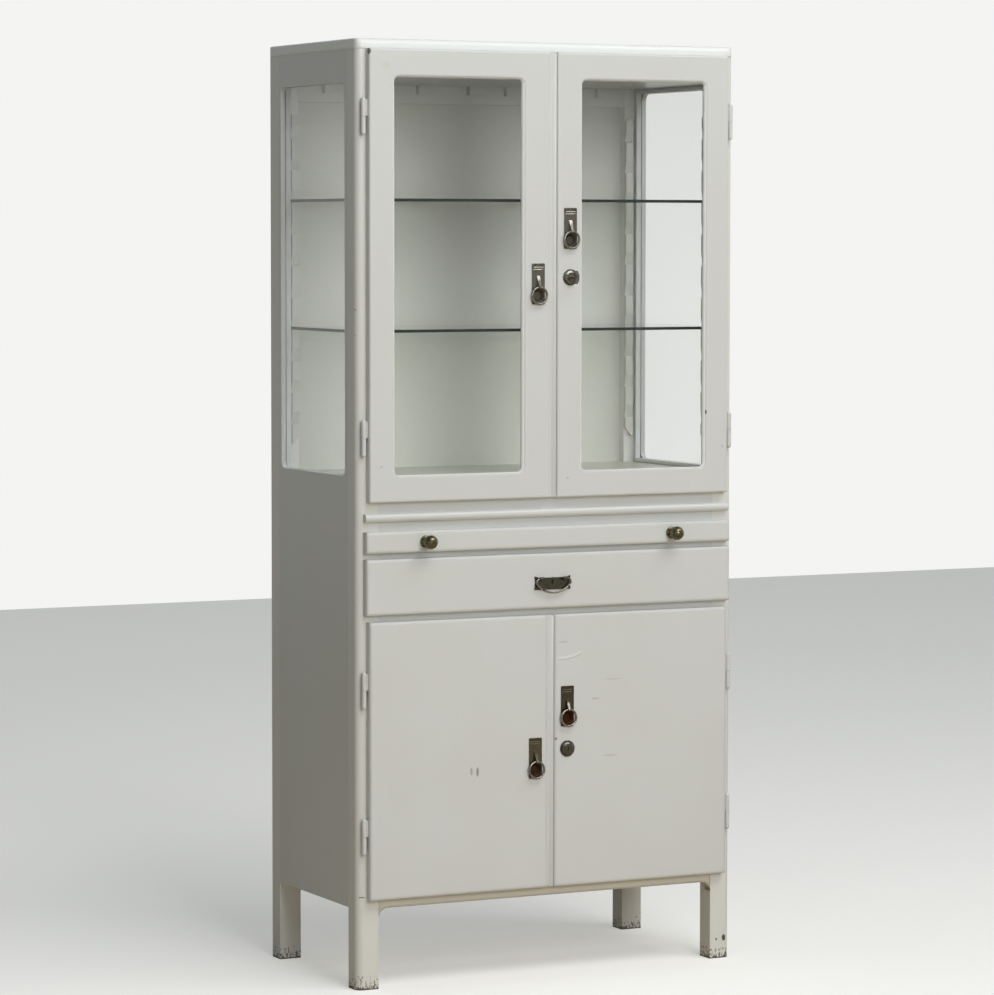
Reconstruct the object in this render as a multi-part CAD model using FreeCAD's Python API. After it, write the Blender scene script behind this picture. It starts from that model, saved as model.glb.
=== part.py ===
import FreeCAD, Part
import math
import os

V = FreeCAD.Vector

# Painted wooden medicine cabinet: a glazed display above a writing slide, a drawer and a cupboard.
# Millimetres. X runs to the right, Y to the back, Z up from the floor.

# Carcass
CARCASS_WIDTH = 767.0
CARCASS_DEPTH = 386.0
CARCASS_HEIGHT = 1700.0
TOP_THICKNESS = 20.0
TOP_FRONT_EDGE_RADIUS = 9.5
TOP_SIDE_EDGE_BEVEL = 2.0
POST_WIDTH = 42.0
POST_DEPTH = 38.0
FRONT_CORNER_RADIUS = 13.0
BACK_CORNER_RADIUS = 3.0
LEG_HEIGHT = 146.0
SIDE_THICKNESS = 18.0
BACK_THICKNESS = 12.0
BACK_RECESS = 9.0
BACK_GROOVE_DEPTH = 8.0
RAIL_THICKNESS = 20.0

# Heights of the front rails and of the openings between them, from the bottom up
BOTTOM_RAIL_HEIGHT = 44.0
CUPBOARD_OPENING_HEIGHT = 465.0
DRAWER_RAIL_HEIGHT = 27.0
DRAWER_OPENING_HEIGHT = 86.0
SLIDE_RAIL_HEIGHT = 26.0
SLIDE_OPENING_HEIGHT = 22.0
MIDDLE_RAIL_HEIGHT = 99.0
TOP_RAIL_HEIGHT = 48.0
BRACKET_RADIUS = 18.0

# Boards inside the carcass
CEILING_THICKNESS = 12.0
UPPER_FLOOR_THICKNESS = 18.0
DUST_BOARD_THICKNESS = 10.0
BOTTOM_BOARD_THICKNESS = 16.0
SHELF_THICKNESS = 15.0
SHELF_HEIGHT = 232.0
SHELF_FRONT_SETBACK = 6.0
SHELF_END_CLEARANCE = 0.5
SHELF_BEARER_WIDTH = 18.0
SHELF_BEARER_HEIGHT = 20.0

# Batten and glue blocks under the ceiling
BATTEN_HEIGHT = 34.0
BATTEN_THICKNESS = 18.0
GLUE_BLOCK_LENGTH = 34.0
GLUE_BLOCK_HEIGHT = 17.0
GLUE_BLOCK_DEPTH = 12.0
block_place_shares = (-0.403, -0.126, 0.031, 0.13, 0.417)
block_length_shares = (1.0, 1.0, 1.06, 0.44, 0.5)

# Half-round moulding on the middle rail
MOULDING_HEIGHT = 14.8
MOULDING_REACH = 13.0
MOULDING_RISE = 25.5

# Side windows
SIDE_WINDOW_FRONT_MARGIN = 12.6
SIDE_WINDOW_REAR_MARGIN = 12.5
SIDE_WINDOW_SILL = 7.0
SIDE_WINDOW_HEAD = 9.0
SIDE_WINDOW_RADIUS = 13.0
SIDE_REBATE_WIDTH = 6.0
SIDE_REBATE_DEPTH = 9.0
SIDE_BEAD_PROUD = 4.0
PANE_THICKNESS = 3.0

# Ratchet strips and glass shelves
RATCHET_WIDTH = 16.0
RATCHET_THICKNESS = 8.0
RATCHET_NOTCH_DEPTH = 6.0
RATCHET_NOTCH_RISE = 24.0
RATCHET_PITCH = 58.75
RATCHET_TOP_DROP = 57.5
RATCHET_FIRST_DROP = 44.5
RATCHET_TAIL = 34.5
RATCHET_FOOT_CLEARANCE = 40.0
RATCHET_TAIL_BEVEL_WIDTH = 12.0
RATCHET_TAIL_BEVEL_HEIGHT = 15.0
RATCHET_HEAD_BEVEL = 4.0
GLASS_SHELF_THICKNESS = 5.4
GLASS_SHELF_BITE = 4.0
GLASS_SHELF_CORNER = 3.0
GLASS_SHELF_SIDE_GAP = 1.5
# Where the glass shelves lie, as shares of the run of notches from the top one down
upper_shelf_share = 0.22
lower_shelf_share = 0.67

# Overlaid fronts
FRONT_THICKNESS = 15.0
FRONT_GAP = 0.5
FRONT_EDGE_RADIUS = 3.0
DOOR_SIDE_MARGIN = 18.4
DOOR_TOP_MARGIN = 18.0
UPPER_DOOR_OVERLAP = 38.5
LOWER_DOOR_TOP_OVERLAP = 7.5
LOWER_DOOR_BOTTOM_MARGIN = 16.5
UPPER_SEAM_OFFSET = 8.2
LOWER_SEAM_OFFSET = 4.0
SEAM_GAP = 2.4
LEDGE_WIDTH = 12.0
LEDGE_RECESS = 6.0

# Glazed door frames
LEFT_HINGE_STILE = 48.1
LEFT_MEETING_STILE = 53.3
RIGHT_HINGE_STILE = 48.0
RIGHT_MEETING_STILE = 49.2
DOOR_TOP_RAIL = 48.5
DOOR_BOTTOM_RAIL = 47.5
DOOR_WINDOW_RADIUS = 11.0
DOOR_WINDOW_BEVEL = 2.0
DOOR_REBATE_WIDTH = 8.0
DOOR_REBATE_DEPTH = 8.0

# Lift-off hinges
HINGE_INSET = 10.5
HINGE_FORWARD = 7.0
KNUCKLE_RADIUS = 4.4
KNUCKLE_HALF_LENGTH = 33.0
KNUCKLE_TIP_HEIGHT = 3.0
KNUCKLE_TIP_RADIUS = 2.4
HINGE_SEAT_GAP = 0.3
HINGE_PIN_RADIUS = 2.4
HINGE_PIN_LENGTH = 24.0
HINGE_PIN_CLEARANCE = 0.05
HINGE_PIN_END_GAP = 1.0
HINGE_LEAF_THICKNESS = 1.8
HINGE_POST_LEAF_DEPTH = 22.0
HINGE_DOOR_LEAF_DEPTH = 25.0
UPPER_DOOR_TOP_HINGE_DROP = 120.0
UPPER_DOOR_BOTTOM_HINGE_RISE = 115.0
LOWER_DOOR_TOP_HINGE_DROP = 121.5
LOWER_DOOR_BOTTOM_HINGE_RISE = 115.0

# Ring pulls
PULL_WIDTH = 26.0
PULL_HEIGHT = 74.0
PULL_THICKNESS = 1.5
PULL_CORNER_BEVEL = 1.2
PULL_LEFT_INSET = 25.0
PULL_RIGHT_INSET = 26.0
UPPER_LEFT_PULL_DROP = 380.6
UPPER_RIGHT_PULL_DROP = 280.2
LOWER_LEFT_PULL_DROP = 223.6
LOWER_RIGHT_PULL_DROP = 131.4
RING_MEAN_RADIUS = 15.0
RING_WIRE_RADIUS = 2.0
RING_STANDOFF = 5.5
RING_EYE_DROP = 43.0
RING_EYE_CLEARANCE = 0.25
RING_EYE_WALL = 1.3
TONGUE_TOP_DROP = 22.0
TONGUE_TOP_WIDTH = 6.5
TONGUE_END_WIDTH = 3.3
CUP_RADIUS = 12.0
CUP_DEPTH = 5.0
CUP_FLOOR_RADIUS = 7.0
CUP_WALL = 0.8

# Locks and key
LOCK_INSET = 26.0
UPPER_LOCK_DROP = 405.8
LOWER_LOCK_DROP = 246.5
ROSE_RADIUS = 15.0
ROSE_STEP_RADIUS = 12.2
ROSE_HEIGHT = 5.4
ROSE_RIM_HEIGHT = 1.6
ROSE_STEP_HEIGHT = 3.4
BARREL_RADIUS = 9.0
BARREL_TAIL = 4.5
LOCK_NUT_RADIUS = 12.5
LOCK_NUT_HEIGHT = 3.5
PLUG_RADIUS = 6.0
PLUG_CLEARANCE = 0.05
CAM_GAP = 0.3
CAM_THICKNESS = 2.5
CAM_WIDTH = 10.0
CAM_LENGTH = 42.0
KEYWAY_DEPTH = 16.0
KEY_BLADE_THICKNESS = 1.2
KEY_BLADE_HEIGHT = 7.0
KEY_BLADE_LENGTH = 15.0
KEY_CLEARANCE = 0.05
KEY_COLLAR_RADIUS = 4.0
KEY_COLLAR_HEIGHT = 1.6
KEY_SHANK_RADIUS = 2.6
KEY_BOW_HEIGHT = 24.0
KEY_BOW_LENGTH = 20.0
KEY_BOW_THICKNESS = 2.2
KEY_BOW_BEVEL = 7.0
KEY_BOW_HOLE_RADIUS = 3.5
KEY_REACH = 34.0

# Drawer
FRONT_SIDE_MARGIN = 12.5
DRAWER_FRONT_HEIGHT = 100.0
DRAWER_BOX_HEIGHT = 82.0
DRAWER_REAR_GAP = 17.5
DRAWER_BOARD = 12.0
DRAWER_BOTTOM_THICKNESS = 5.0
DRAWER_BOTTOM_RISE = 7.0
DRAWER_BOTTOM_HOUSING = 6.0
DRAWER_SIDE_GAP = 2.0
RUNNING_GAP = 0.3
RUNNER_HEIGHT = 11.0
RUNNER_WIDTH = 44.0
GUIDE_HEIGHT = 18.0
GUIDE_GAP = 0.5
KICKER_GAP = 1.7

# Drawer pull
BAIL_PLATE_WIDTH = 74.0
BAIL_PLATE_HEIGHT = 25.0
BAIL_PLATE_THICKNESS = 1.2
BAIL_PLATE_DROP = 3.3
BAIL_POST_SPREAD = 24.3
BAIL_POST_RADIUS = 3.0
BAIL_BALL_RADIUS = 4.0
BAIL_POST_DROP = 5.2
BAIL_STANDOFF = 5.5
BAIL_WIRE_RADIUS = 1.8
BAIL_WIRE_CLEARANCE = 0.08
BAIL_PIN_END = 1.0
BAIL_DROP = 25.3
BAIL_SWEEP_RADIUS = 43.6
BAIL_CORNER_RADIUS = 6.0
KEYHOLE_RADIUS = 2.3
KEYHOLE_SLOT_WIDTH = 2.6
KEYHOLE_SLOT_LENGTH = 9.0
KEYHOLE_DROP = 7.2
# Corners of the pull plate's outline: heights as shares of its height, widths of half its width
ear_share = 0.88
shoulder_share = 0.70
waist_share = 0.95
waist_height_share = 0.62

# Writing slide
SLIDE_FRONT_HEIGHT = 38.4
SLIDE_BOARD_THICKNESS = 20.0
SLIDE_REAR_GAP = 27.5
SLIDE_SIDE_GAP = 2.0
SLIDE_STRIP_WIDTH = 32.0
SLIDE_TOP_STRIP_HEIGHT = 12.0

# Ball knobs of the writing slide
KNOB_SPREAD = 251.4
KNOB_PAIR_OFFSET = -3.9
KNOB_REACH = 34.5
KNOB_BASE_RADIUS = 11.0
KNOB_BASE_HEIGHT = 2.0
KNOB_NECK_RADIUS = 5.8
KNOB_NECK_REACH = 10.0
KNOB_HEAD_START = 13.0
KNOB_HEAD_RADIUS = 12.75
KNOB_RIM_START = 20.0
KNOB_RIM_END = 22.5
KNOB_TIP_RADIUS = 3.5
KNOB_SPIGOT_RADIUS = 4.0
KNOB_SPIGOT_LENGTH = 10.0

# Flats round each bent or faceted piece
WIRE_FLATS_COUNT = 8
RING_CORNERS_COUNT = 20
CUP_FLATS_COUNT = 16
ROSE_FLATS_COUNT = 16
KNOB_FLATS_COUNT = 16
KNUCKLE_FLATS_COUNT = 12
NUT_FLATS_COUNT = 6
BAIL_CORNER_STEPS_COUNT = 3
BAIL_SWEEP_STEPS_COUNT = 10
KNOB_CROWN_STEPS_COUNT = 3

# Overrun of every cut past the surface that it leaves, and the tolerance for picking edges
OVERRUN = 1.0
TOUCH = 0.01

# Places that follow from the sizes
HALF = CARCASS_WIDTH / 2
FRONT_REACH = FRONT_GAP + FRONT_THICKNESS + max(KNOB_REACH, KEY_REACH)
BACK_Y = (CARCASS_DEPTH + FRONT_REACH) / 2
FRONT_Y = BACK_Y - CARCASS_DEPTH
LEAF_BACK_Y = FRONT_Y - FRONT_GAP
FACE_Y = LEAF_BACK_Y - FRONT_THICKNESS
POST_REAR_Y = FRONT_Y + POST_DEPTH
BACK_POST_Y = BACK_Y - POST_DEPTH
RAIL_BACK_Y = FRONT_Y + RAIL_THICKNESS
PANEL_BACK_Y = BACK_Y - BACK_RECESS
PANEL_FRONT_Y = PANEL_BACK_Y - BACK_THICKNESS
INNER_X = HALF - SIDE_THICKNESS
POST_INNER_X = HALF - POST_WIDTH
POST_TOP_Z = CARCASS_HEIGHT - TOP_THICKNESS
CEILING_Z = POST_TOP_Z - TOP_RAIL_HEIGHT
CUPBOARD_FLOOR_Z = LEG_HEIGHT + BOTTOM_RAIL_HEIGHT
DRAWER_RAIL_Z = CUPBOARD_FLOOR_Z + CUPBOARD_OPENING_HEIGHT
DRAWER_OPENING_Z = DRAWER_RAIL_Z + DRAWER_RAIL_HEIGHT
SLIDE_RAIL_Z = DRAWER_OPENING_Z + DRAWER_OPENING_HEIGHT
SLIDE_OPENING_Z = SLIDE_RAIL_Z + SLIDE_RAIL_HEIGHT
MIDDLE_RAIL_Z = SLIDE_OPENING_Z + SLIDE_OPENING_HEIGHT
UPPER_FLOOR_Z = MIDDLE_RAIL_Z + MIDDLE_RAIL_HEIGHT
HINGE_X = HALF - HINGE_INSET
HINGE_Y = FRONT_Y - HINGE_FORWARD
DOOR_EDGE_X = HALF - DOOR_SIDE_MARGIN
UPPER_DOOR_TOP_Z = CARCASS_HEIGHT - DOOR_TOP_MARGIN
UPPER_DOOR_BOTTOM_Z = UPPER_FLOOR_Z - UPPER_DOOR_OVERLAP
LOWER_DOOR_TOP_Z = DRAWER_RAIL_Z + LOWER_DOOR_TOP_OVERLAP
LOWER_DOOR_BOTTOM_Z = LEG_HEIGHT + LOWER_DOOR_BOTTOM_MARGIN
UPPER_HINGE_HEIGHTS = (UPPER_DOOR_TOP_Z - UPPER_DOOR_TOP_HINGE_DROP,
                       UPPER_DOOR_BOTTOM_Z + UPPER_DOOR_BOTTOM_HINGE_RISE)
LOWER_HINGE_HEIGHTS = (LOWER_DOOR_TOP_Z - LOWER_DOOR_TOP_HINGE_DROP,
                       LOWER_DOOR_BOTTOM_Z + LOWER_DOOR_BOTTOM_HINGE_RISE)
DRAWER_MIDDLE_Z = DRAWER_OPENING_Z + DRAWER_OPENING_HEIGHT / 2
BAIL_PLATE_Z = DRAWER_MIDDLE_Z - BAIL_PLATE_DROP
SLIDE_MIDDLE_Z = SLIDE_OPENING_Z + SLIDE_OPENING_HEIGHT / 2
SLIDE_BOARD_Z = SLIDE_MIDDLE_Z - SLIDE_BOARD_THICKNESS / 2
SLIDE_REAR_Y = PANEL_FRONT_Y - SLIDE_REAR_GAP
DRAWER_REAR_Y = PANEL_FRONT_Y - DRAWER_REAR_GAP
DRAWER_BOX_Z = DRAWER_OPENING_Z + RUNNING_GAP
DRAWER_BOX_TOP_Z = DRAWER_BOX_Z + DRAWER_BOX_HEIGHT
RATCHET_TOP_Z = CEILING_Z - RATCHET_TOP_DROP
RATCHET_ROOM = RATCHET_TOP_Z - RATCHET_FIRST_DROP - RATCHET_TAIL - RATCHET_FOOT_CLEARANCE - UPPER_FLOOR_Z
RATCHET_NOTCHES = int(RATCHET_ROOM / RATCHET_PITCH) + 1
UPPER_SHELF_NOTCH = round(upper_shelf_share * (RATCHET_NOTCHES - 1))
LOWER_SHELF_NOTCH = round(lower_shelf_share * (RATCHET_NOTCHES - 1))


def board(x0, x1, y0, y1, z0, z1):
    """A plain rectangular board between six planes."""
    return Part.makeBox(x1 - x0, y1 - y0, z1 - z0, V(x0, y0, z0))


def rod(centre, direction, radius, length):
    """A round bar that starts at centre and runs along direction."""
    return Part.makeCylinder(radius, length, centre, direction)


def prism(points, direction):
    """A flat outline pushed along direction."""
    return Part.Face(Part.makePolygon(points + points[:1])).extrude(direction)


def mirrored(shape):
    """The same piece on the other side of the cabinet."""
    return shape.mirror(V(0, 0, 0), V(1, 0, 0))


def edges_along(shape, axis):
    """Straight edges that run along one axis."""
    others = [other for other in range(3) if other != axis]
    found = []
    for edge in shape.Edges:
        ends = [vertex.Point for vertex in edge.Vertexes]
        if len(ends) == 2 and all(abs(ends[0][other] - ends[1][other]) < TOUCH for other in others):
            found.append(edge)
    return found


def edges_in_plane(shape, axis, place):
    """Edges that lie in the plane where one axis has the given value."""
    found = []
    for edge in shape.Edges:
        middle = edge.valueAt((edge.FirstParameter + edge.LastParameter) / 2)
        points = [vertex.Point for vertex in edge.Vertexes] + [middle]
        if all(abs(point[axis] - place) < TOUCH for point in points):
            found.append(edge)
    return found


def corner_edge(shape, x, y):
    """The upright edges of a shape at one corner of its plan."""
    found = []
    for edge in edges_along(shape, 2):
        point = edge.Vertexes[0].Point
        if abs(point.x - x) < TOUCH and abs(point.y - y) < TOUCH:
            found.append(edge)
    return found


def skinned(rings, closed=False):
    """A solid with a flat face between each two neighbouring corners of neighbouring rings."""
    count = len(rings[0])
    pairs = list(zip(rings, rings[1:]))
    outlines = [] if closed else [rings[0], rings[-1]]
    if closed:
        pairs.append((rings[-1], rings[0]))
    for first, second in pairs:
        for number in range(count):
            following = (number + 1) % count
            outlines.append([first[number], first[following], second[following], second[number]])
    faces = [Part.Face(Part.makePolygon(outline + outline[:1])) for outline in outlines]
    shell = Part.Shell(faces)
    shell.sewShape()
    solid = Part.Solid(shell)
    return solid if solid.Volume > 0 else solid.reversed()


def faceted(outline, x, z, flats):
    """A piece with flats round an axis along Y through x, z, from (y, radius) pairs."""
    spins = [math.pi * (2 * number + 1) / flats for number in range(flats)]
    return skinned([[V(x + radius * math.cos(spin), y, z + radius * math.sin(spin)) for spin in spins]
                    for y, radius in outline])


def bent_bar(points, radius, closed=False):
    """A bar with flats along a path in an upright plane, mitred at every bend."""
    last = len(points) - 1
    rings = []
    for number, point in enumerate(points):
        before = points[number - 1] if number > 0 or closed else None
        after = points[(number + 1) % len(points)] if number < last or closed else None
        arriving = (point - before).normalize() if before else (after - point).normalize()
        leaving = (after - point).normalize() if after else arriving
        along = (arriving + leaving).normalize()
        across = V(along.z, 0, -along.x) * (radius / along.dot(arriving))
        spins = [math.pi * (2 * corner + 1) / WIRE_FLATS_COUNT for corner in range(WIRE_FLATS_COUNT)]
        rings.append([point + across * math.cos(spin) + V(0, radius * math.sin(spin), 0) for spin in spins])
    return skinned(rings, closed)


def mitred_frame(low, high, width, place, direction):
    """Four strips with mitred ends round a rectangle, from its outer corners inwards."""
    outer = [(low[0], low[1]), (high[0], low[1]), (high[0], high[1]), (low[0], high[1])]
    inner = [(low[0] + width, low[1] + width), (high[0] - width, low[1] + width),
             (high[0] - width, high[1] - width), (low[0] + width, high[1] - width)]
    strips = []
    for first in range(4):
        second = (first + 1) % 4
        corners = [outer[first], outer[second], inner[second], inner[first]]
        strips.append(prism([place(*corner) for corner in corners], direction))
    return strips


def front_post():
    """Right front post and leg, with slots for the hinge leaves."""
    post = board(POST_INNER_X, HALF, FRONT_Y, POST_REAR_Y, 0, POST_TOP_Z)
    post = post.makeFillet(FRONT_CORNER_RADIUS, corner_edge(post, HALF, FRONT_Y))
    for height in UPPER_HINGE_HEIGHTS + LOWER_HINGE_HEIGHTS:
        post = post.cut(hinge_post_leaf(height))
    return post


def back_post():
    """Right back post and leg, with the groove for the back panel."""
    post = board(POST_INNER_X, HALF, BACK_POST_Y, BACK_Y, 0, POST_TOP_Z)
    post = post.makeFillet(BACK_CORNER_RADIUS, corner_edge(post, HALF, BACK_Y))
    return post.cut(back_panel())


def back_panel():
    """Back panel, held in the grooves of the back posts."""
    edge = POST_INNER_X + BACK_GROOVE_DEPTH
    return board(-edge, edge, PANEL_FRONT_Y, PANEL_BACK_Y, LEG_HEIGHT, POST_TOP_Z)


def top_board():
    """Top board over the posts, broadly rounded along the front and lightly bevelled elsewhere."""
    slab = board(-HALF, HALF, FRONT_Y, BACK_Y, POST_TOP_Z, CARCASS_HEIGHT)
    front = [edge for edge in edges_in_plane(slab, 1, FRONT_Y) if edge.BoundBox.ZMin > POST_TOP_Z + TOUCH]
    nosed = slab.makeFillet(TOP_FRONT_EDGE_RADIUS, front)
    for radius, y in ((FRONT_CORNER_RADIUS, FRONT_Y), (BACK_CORNER_RADIUS, BACK_Y)):
        slab = slab.makeFillet(radius, corner_edge(slab, HALF, y) + corner_edge(slab, -HALF, y))
    slab = slab.makeChamfer(TOP_SIDE_EDGE_BEVEL, edges_in_plane(slab, 2, CARCASS_HEIGHT))
    return slab.common(nosed)


def side_window_limits():
    """Front, rear, lower and upper edge of a side window."""
    front = POST_REAR_Y + SIDE_WINDOW_FRONT_MARGIN
    rear = BACK_POST_Y - SIDE_WINDOW_REAR_MARGIN
    return front, rear, UPPER_FLOOR_Z + SIDE_WINDOW_SILL, CEILING_Z - SIDE_WINDOW_HEAD


def side_panel():
    """Right side board between the posts, with its rounded window and the rebate for the pane."""
    front, rear, sill, head = side_window_limits()
    panel = board(INNER_X, HALF, POST_REAR_Y, BACK_POST_Y, LEG_HEIGHT, POST_TOP_Z)
    window = board(INNER_X - OVERRUN, HALF + OVERRUN, front, rear, sill, head)
    window = window.makeFillet(SIDE_WINDOW_RADIUS, edges_along(window, 0))
    rebate = board(INNER_X - OVERRUN, HALF - SIDE_REBATE_DEPTH,
                   front - SIDE_REBATE_WIDTH, rear + SIDE_REBATE_WIDTH,
                   sill - SIDE_REBATE_WIDTH, head + SIDE_REBATE_WIDTH)
    return panel.cut(window).cut(rebate)


def side_pane():
    """Right side pane, seated in the rebate."""
    front, rear, sill, head = side_window_limits()
    outside = HALF - SIDE_REBATE_DEPTH
    return board(outside - PANE_THICKNESS, outside,
                 front - SIDE_REBATE_WIDTH, rear + SIDE_REBATE_WIDTH,
                 sill - SIDE_REBATE_WIDTH, head + SIDE_REBATE_WIDTH)


def side_beads():
    """Mitred strips that hold the right side pane from the inside."""
    front, rear, sill, head = side_window_limits()
    low = (front - SIDE_REBATE_WIDTH, sill - SIDE_REBATE_WIDTH)
    high = (rear + SIDE_REBATE_WIDTH, head + SIDE_REBATE_WIDTH)
    start = INNER_X - SIDE_BEAD_PROUD
    reach = HALF - SIDE_REBATE_DEPTH - PANE_THICKNESS - start
    return mitred_frame(low, high, SIDE_REBATE_WIDTH, lambda y, z: V(start, y, z), V(reach, 0, 0))


def inner_board(low, thickness):
    """A board between the sides, from the front rail to the back panel, notched round the four posts."""
    high = low + thickness
    slab = board(-INNER_X, INNER_X, RAIL_BACK_Y, PANEL_FRONT_Y, low, high)
    for y0, y1 in ((FRONT_Y, POST_REAR_Y), (BACK_POST_Y, BACK_Y)):
        slab = slab.cut(board(POST_INNER_X, HALF, y0, y1, low, high))
        slab = slab.cut(board(-HALF, -POST_INNER_X, y0, y1, low, high))
    return slab


def front_rail(low, height):
    """A front rail between the posts, flush with them."""
    return board(-POST_INNER_X, POST_INNER_X, FRONT_Y, RAIL_BACK_Y, low, low + height)


def bracket():
    """Curved corner under the right end of the bottom rail, from the rail into the leg."""
    centre_x = POST_INNER_X - BRACKET_RADIUS
    centre_z = LEG_HEIGHT - BRACKET_RADIUS
    diagonal = BRACKET_RADIUS * math.sqrt(0.5)
    foot = V(POST_INNER_X, FRONT_Y, centre_z)
    inner = V(centre_x, FRONT_Y, LEG_HEIGHT)
    corner = V(POST_INNER_X, FRONT_Y, LEG_HEIGHT)
    middle = V(centre_x + diagonal, FRONT_Y, centre_z + diagonal)
    curve = Part.Arc(foot, middle, inner).toShape()
    sides = [Part.makeLine(inner, corner), Part.makeLine(corner, foot)]
    return Part.Face(Part.Wire([curve] + sides)).extrude(V(0, RAIL_THICKNESS, 0))


def bottom_rail():
    """Bottom front rail with a curved bracket at each leg."""
    rail = front_rail(LEG_HEIGHT, BOTTOM_RAIL_HEIGHT)
    return rail.fuse([bracket(), mirrored(bracket())]).removeSplitter()


def moulding():
    """Half-round moulding on the middle rail."""
    radius = MOULDING_HEIGHT / 2
    middle = MIDDLE_RAIL_Z + MOULDING_RISE + radius
    start = -HALF + FRONT_SIDE_MARGIN
    nose = FRONT_Y - MOULDING_REACH
    upper = V(start, nose + radius, middle + radius)
    lower = V(start, nose + radius, middle - radius)
    upper_back = V(start, FRONT_Y, middle + radius)
    lower_back = V(start, FRONT_Y, middle - radius)
    curve = Part.Arc(upper, V(start, nose, middle), lower).toShape()
    flats = [Part.makeLine(lower, lower_back), Part.makeLine(lower_back, upper_back),
             Part.makeLine(upper_back, upper)]
    return Part.Face(Part.Wire([curve] + flats)).extrude(V(-start * 2, 0, 0))


def ceiling_batten():
    """Batten at the back under the ceiling, and the glue blocks in its corner."""
    front = PANEL_FRONT_Y - BATTEN_THICKNESS
    low = CEILING_Z - BATTEN_HEIGHT
    pieces = [board(-POST_INNER_X, POST_INNER_X, front, PANEL_FRONT_Y, low, CEILING_Z)]
    for place, size in zip(block_place_shares, block_length_shares):
        middle = place * POST_INNER_X * 2
        reach = GLUE_BLOCK_LENGTH * size / 2
        pieces.append(board(middle - reach, middle + reach, front - GLUE_BLOCK_DEPTH, front,
                            CEILING_Z - GLUE_BLOCK_HEIGHT, CEILING_Z))
    return pieces


def cupboard_shelf():
    """Loose board on the bearers of the lower cupboard."""
    low = CUPBOARD_FLOOR_Z + SHELF_HEIGHT
    edge = INNER_X - SHELF_END_CLEARANCE
    front = POST_REAR_Y + SHELF_FRONT_SETBACK
    return board(-edge, edge, front, BACK_POST_Y - SHELF_END_CLEARANCE, low, low + SHELF_THICKNESS)


def side_strip(width, low, high):
    """A strip on the inside of the right side board, between the posts."""
    return board(INNER_X - width, INNER_X, POST_REAR_Y, BACK_POST_Y, low, high)


def side_bearers():
    """Strips on the right side board: shelf bearer, drawer runner and guide, and the slide's runners."""
    shelf_low = CUPBOARD_FLOOR_Z + SHELF_HEIGHT
    guide_width = INNER_X - POST_INNER_X + DRAWER_SIDE_GAP - GUIDE_GAP
    slide_low = SLIDE_BOARD_Z - RUNNING_GAP
    slide_high = SLIDE_BOARD_Z + SLIDE_BOARD_THICKNESS + RUNNING_GAP
    slide_guide_width = INNER_X - POST_INNER_X + SLIDE_SIDE_GAP - GUIDE_GAP
    return [side_strip(SHELF_BEARER_WIDTH, shelf_low - SHELF_BEARER_HEIGHT, shelf_low),
            side_strip(RUNNER_WIDTH, DRAWER_OPENING_Z - RUNNER_HEIGHT, DRAWER_OPENING_Z),
            side_strip(guide_width, DRAWER_OPENING_Z, DRAWER_OPENING_Z + GUIDE_HEIGHT),
            side_strip(SLIDE_STRIP_WIDTH, DRAWER_BOX_TOP_Z + KICKER_GAP, slide_low),
            side_strip(slide_guide_width, slide_low, slide_high),
            side_strip(SLIDE_STRIP_WIDTH, slide_high, slide_high + SLIDE_TOP_STRIP_HEIGHT)]


def ledge_height(number):
    """Height of a notch's ledge, counted from the top notch down."""
    return RATCHET_TOP_Z - RATCHET_FIRST_DROP - number * RATCHET_PITCH


def ratchet_strip():
    """Strip with saw-tooth notches on the back of the right front post."""
    back = POST_REAR_Y
    face = back + RATCHET_THICKNESS
    seat = face - RATCHET_NOTCH_DEPTH
    top = RATCHET_TOP_Z
    bottom = ledge_height(RATCHET_NOTCHES - 1) - RATCHET_TAIL
    outline = [(back, bottom), (back, top), (face, top)]
    for number in range(RATCHET_NOTCHES):
        ledge = ledge_height(number)
        outline += [(face, ledge + RATCHET_NOTCH_RISE), (seat, ledge), (face, ledge)]
    outline.append((face, bottom))
    strip = prism([V(POST_INNER_X, y, z) for y, z in outline], V(RATCHET_WIDTH, 0, 0))
    tail = [V(POST_INNER_X - OVERRUN, back, bottom - OVERRUN),
            V(POST_INNER_X - OVERRUN, back, bottom + RATCHET_TAIL_BEVEL_HEIGHT),
            V(POST_INNER_X, back, bottom + RATCHET_TAIL_BEVEL_HEIGHT),
            V(POST_INNER_X + RATCHET_TAIL_BEVEL_WIDTH, back, bottom),
            V(POST_INNER_X + RATCHET_TAIL_BEVEL_WIDTH, back, bottom - OVERRUN)]
    head = [V(POST_INNER_X, back, top - RATCHET_HEAD_BEVEL), V(POST_INNER_X, back, top),
            V(POST_INNER_X + RATCHET_HEAD_BEVEL, back, top)]
    through = V(0, RATCHET_THICKNESS, 0)
    return strip.cut(prism(tail, through)).cut(prism(head, through))


def ratchet_strips():
    """Four ratchet strips, on the posts' inner faces."""
    middle = V(0, (POST_REAR_Y + BACK_POST_Y) / 2, 0)
    front = ratchet_strip()
    back = front.mirror(middle, V(0, 1, 0))
    return [front, back, mirrored(front), mirrored(back)]


def glass_shelf(notch):
    """A glass shelf that lies on the ledges of one row of notches."""
    edge = INNER_X - SIDE_BEAD_PROUD - GLASS_SHELF_SIDE_GAP
    setback = RATCHET_THICKNESS - GLASS_SHELF_BITE
    low = ledge_height(notch)
    front = POST_REAR_Y + setback
    shelf = board(-edge, edge, front, BACK_POST_Y - setback, low, low + GLASS_SHELF_THICKNESS)
    return shelf.makeChamfer(GLASS_SHELF_CORNER, edges_along(shelf, 2))


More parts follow.
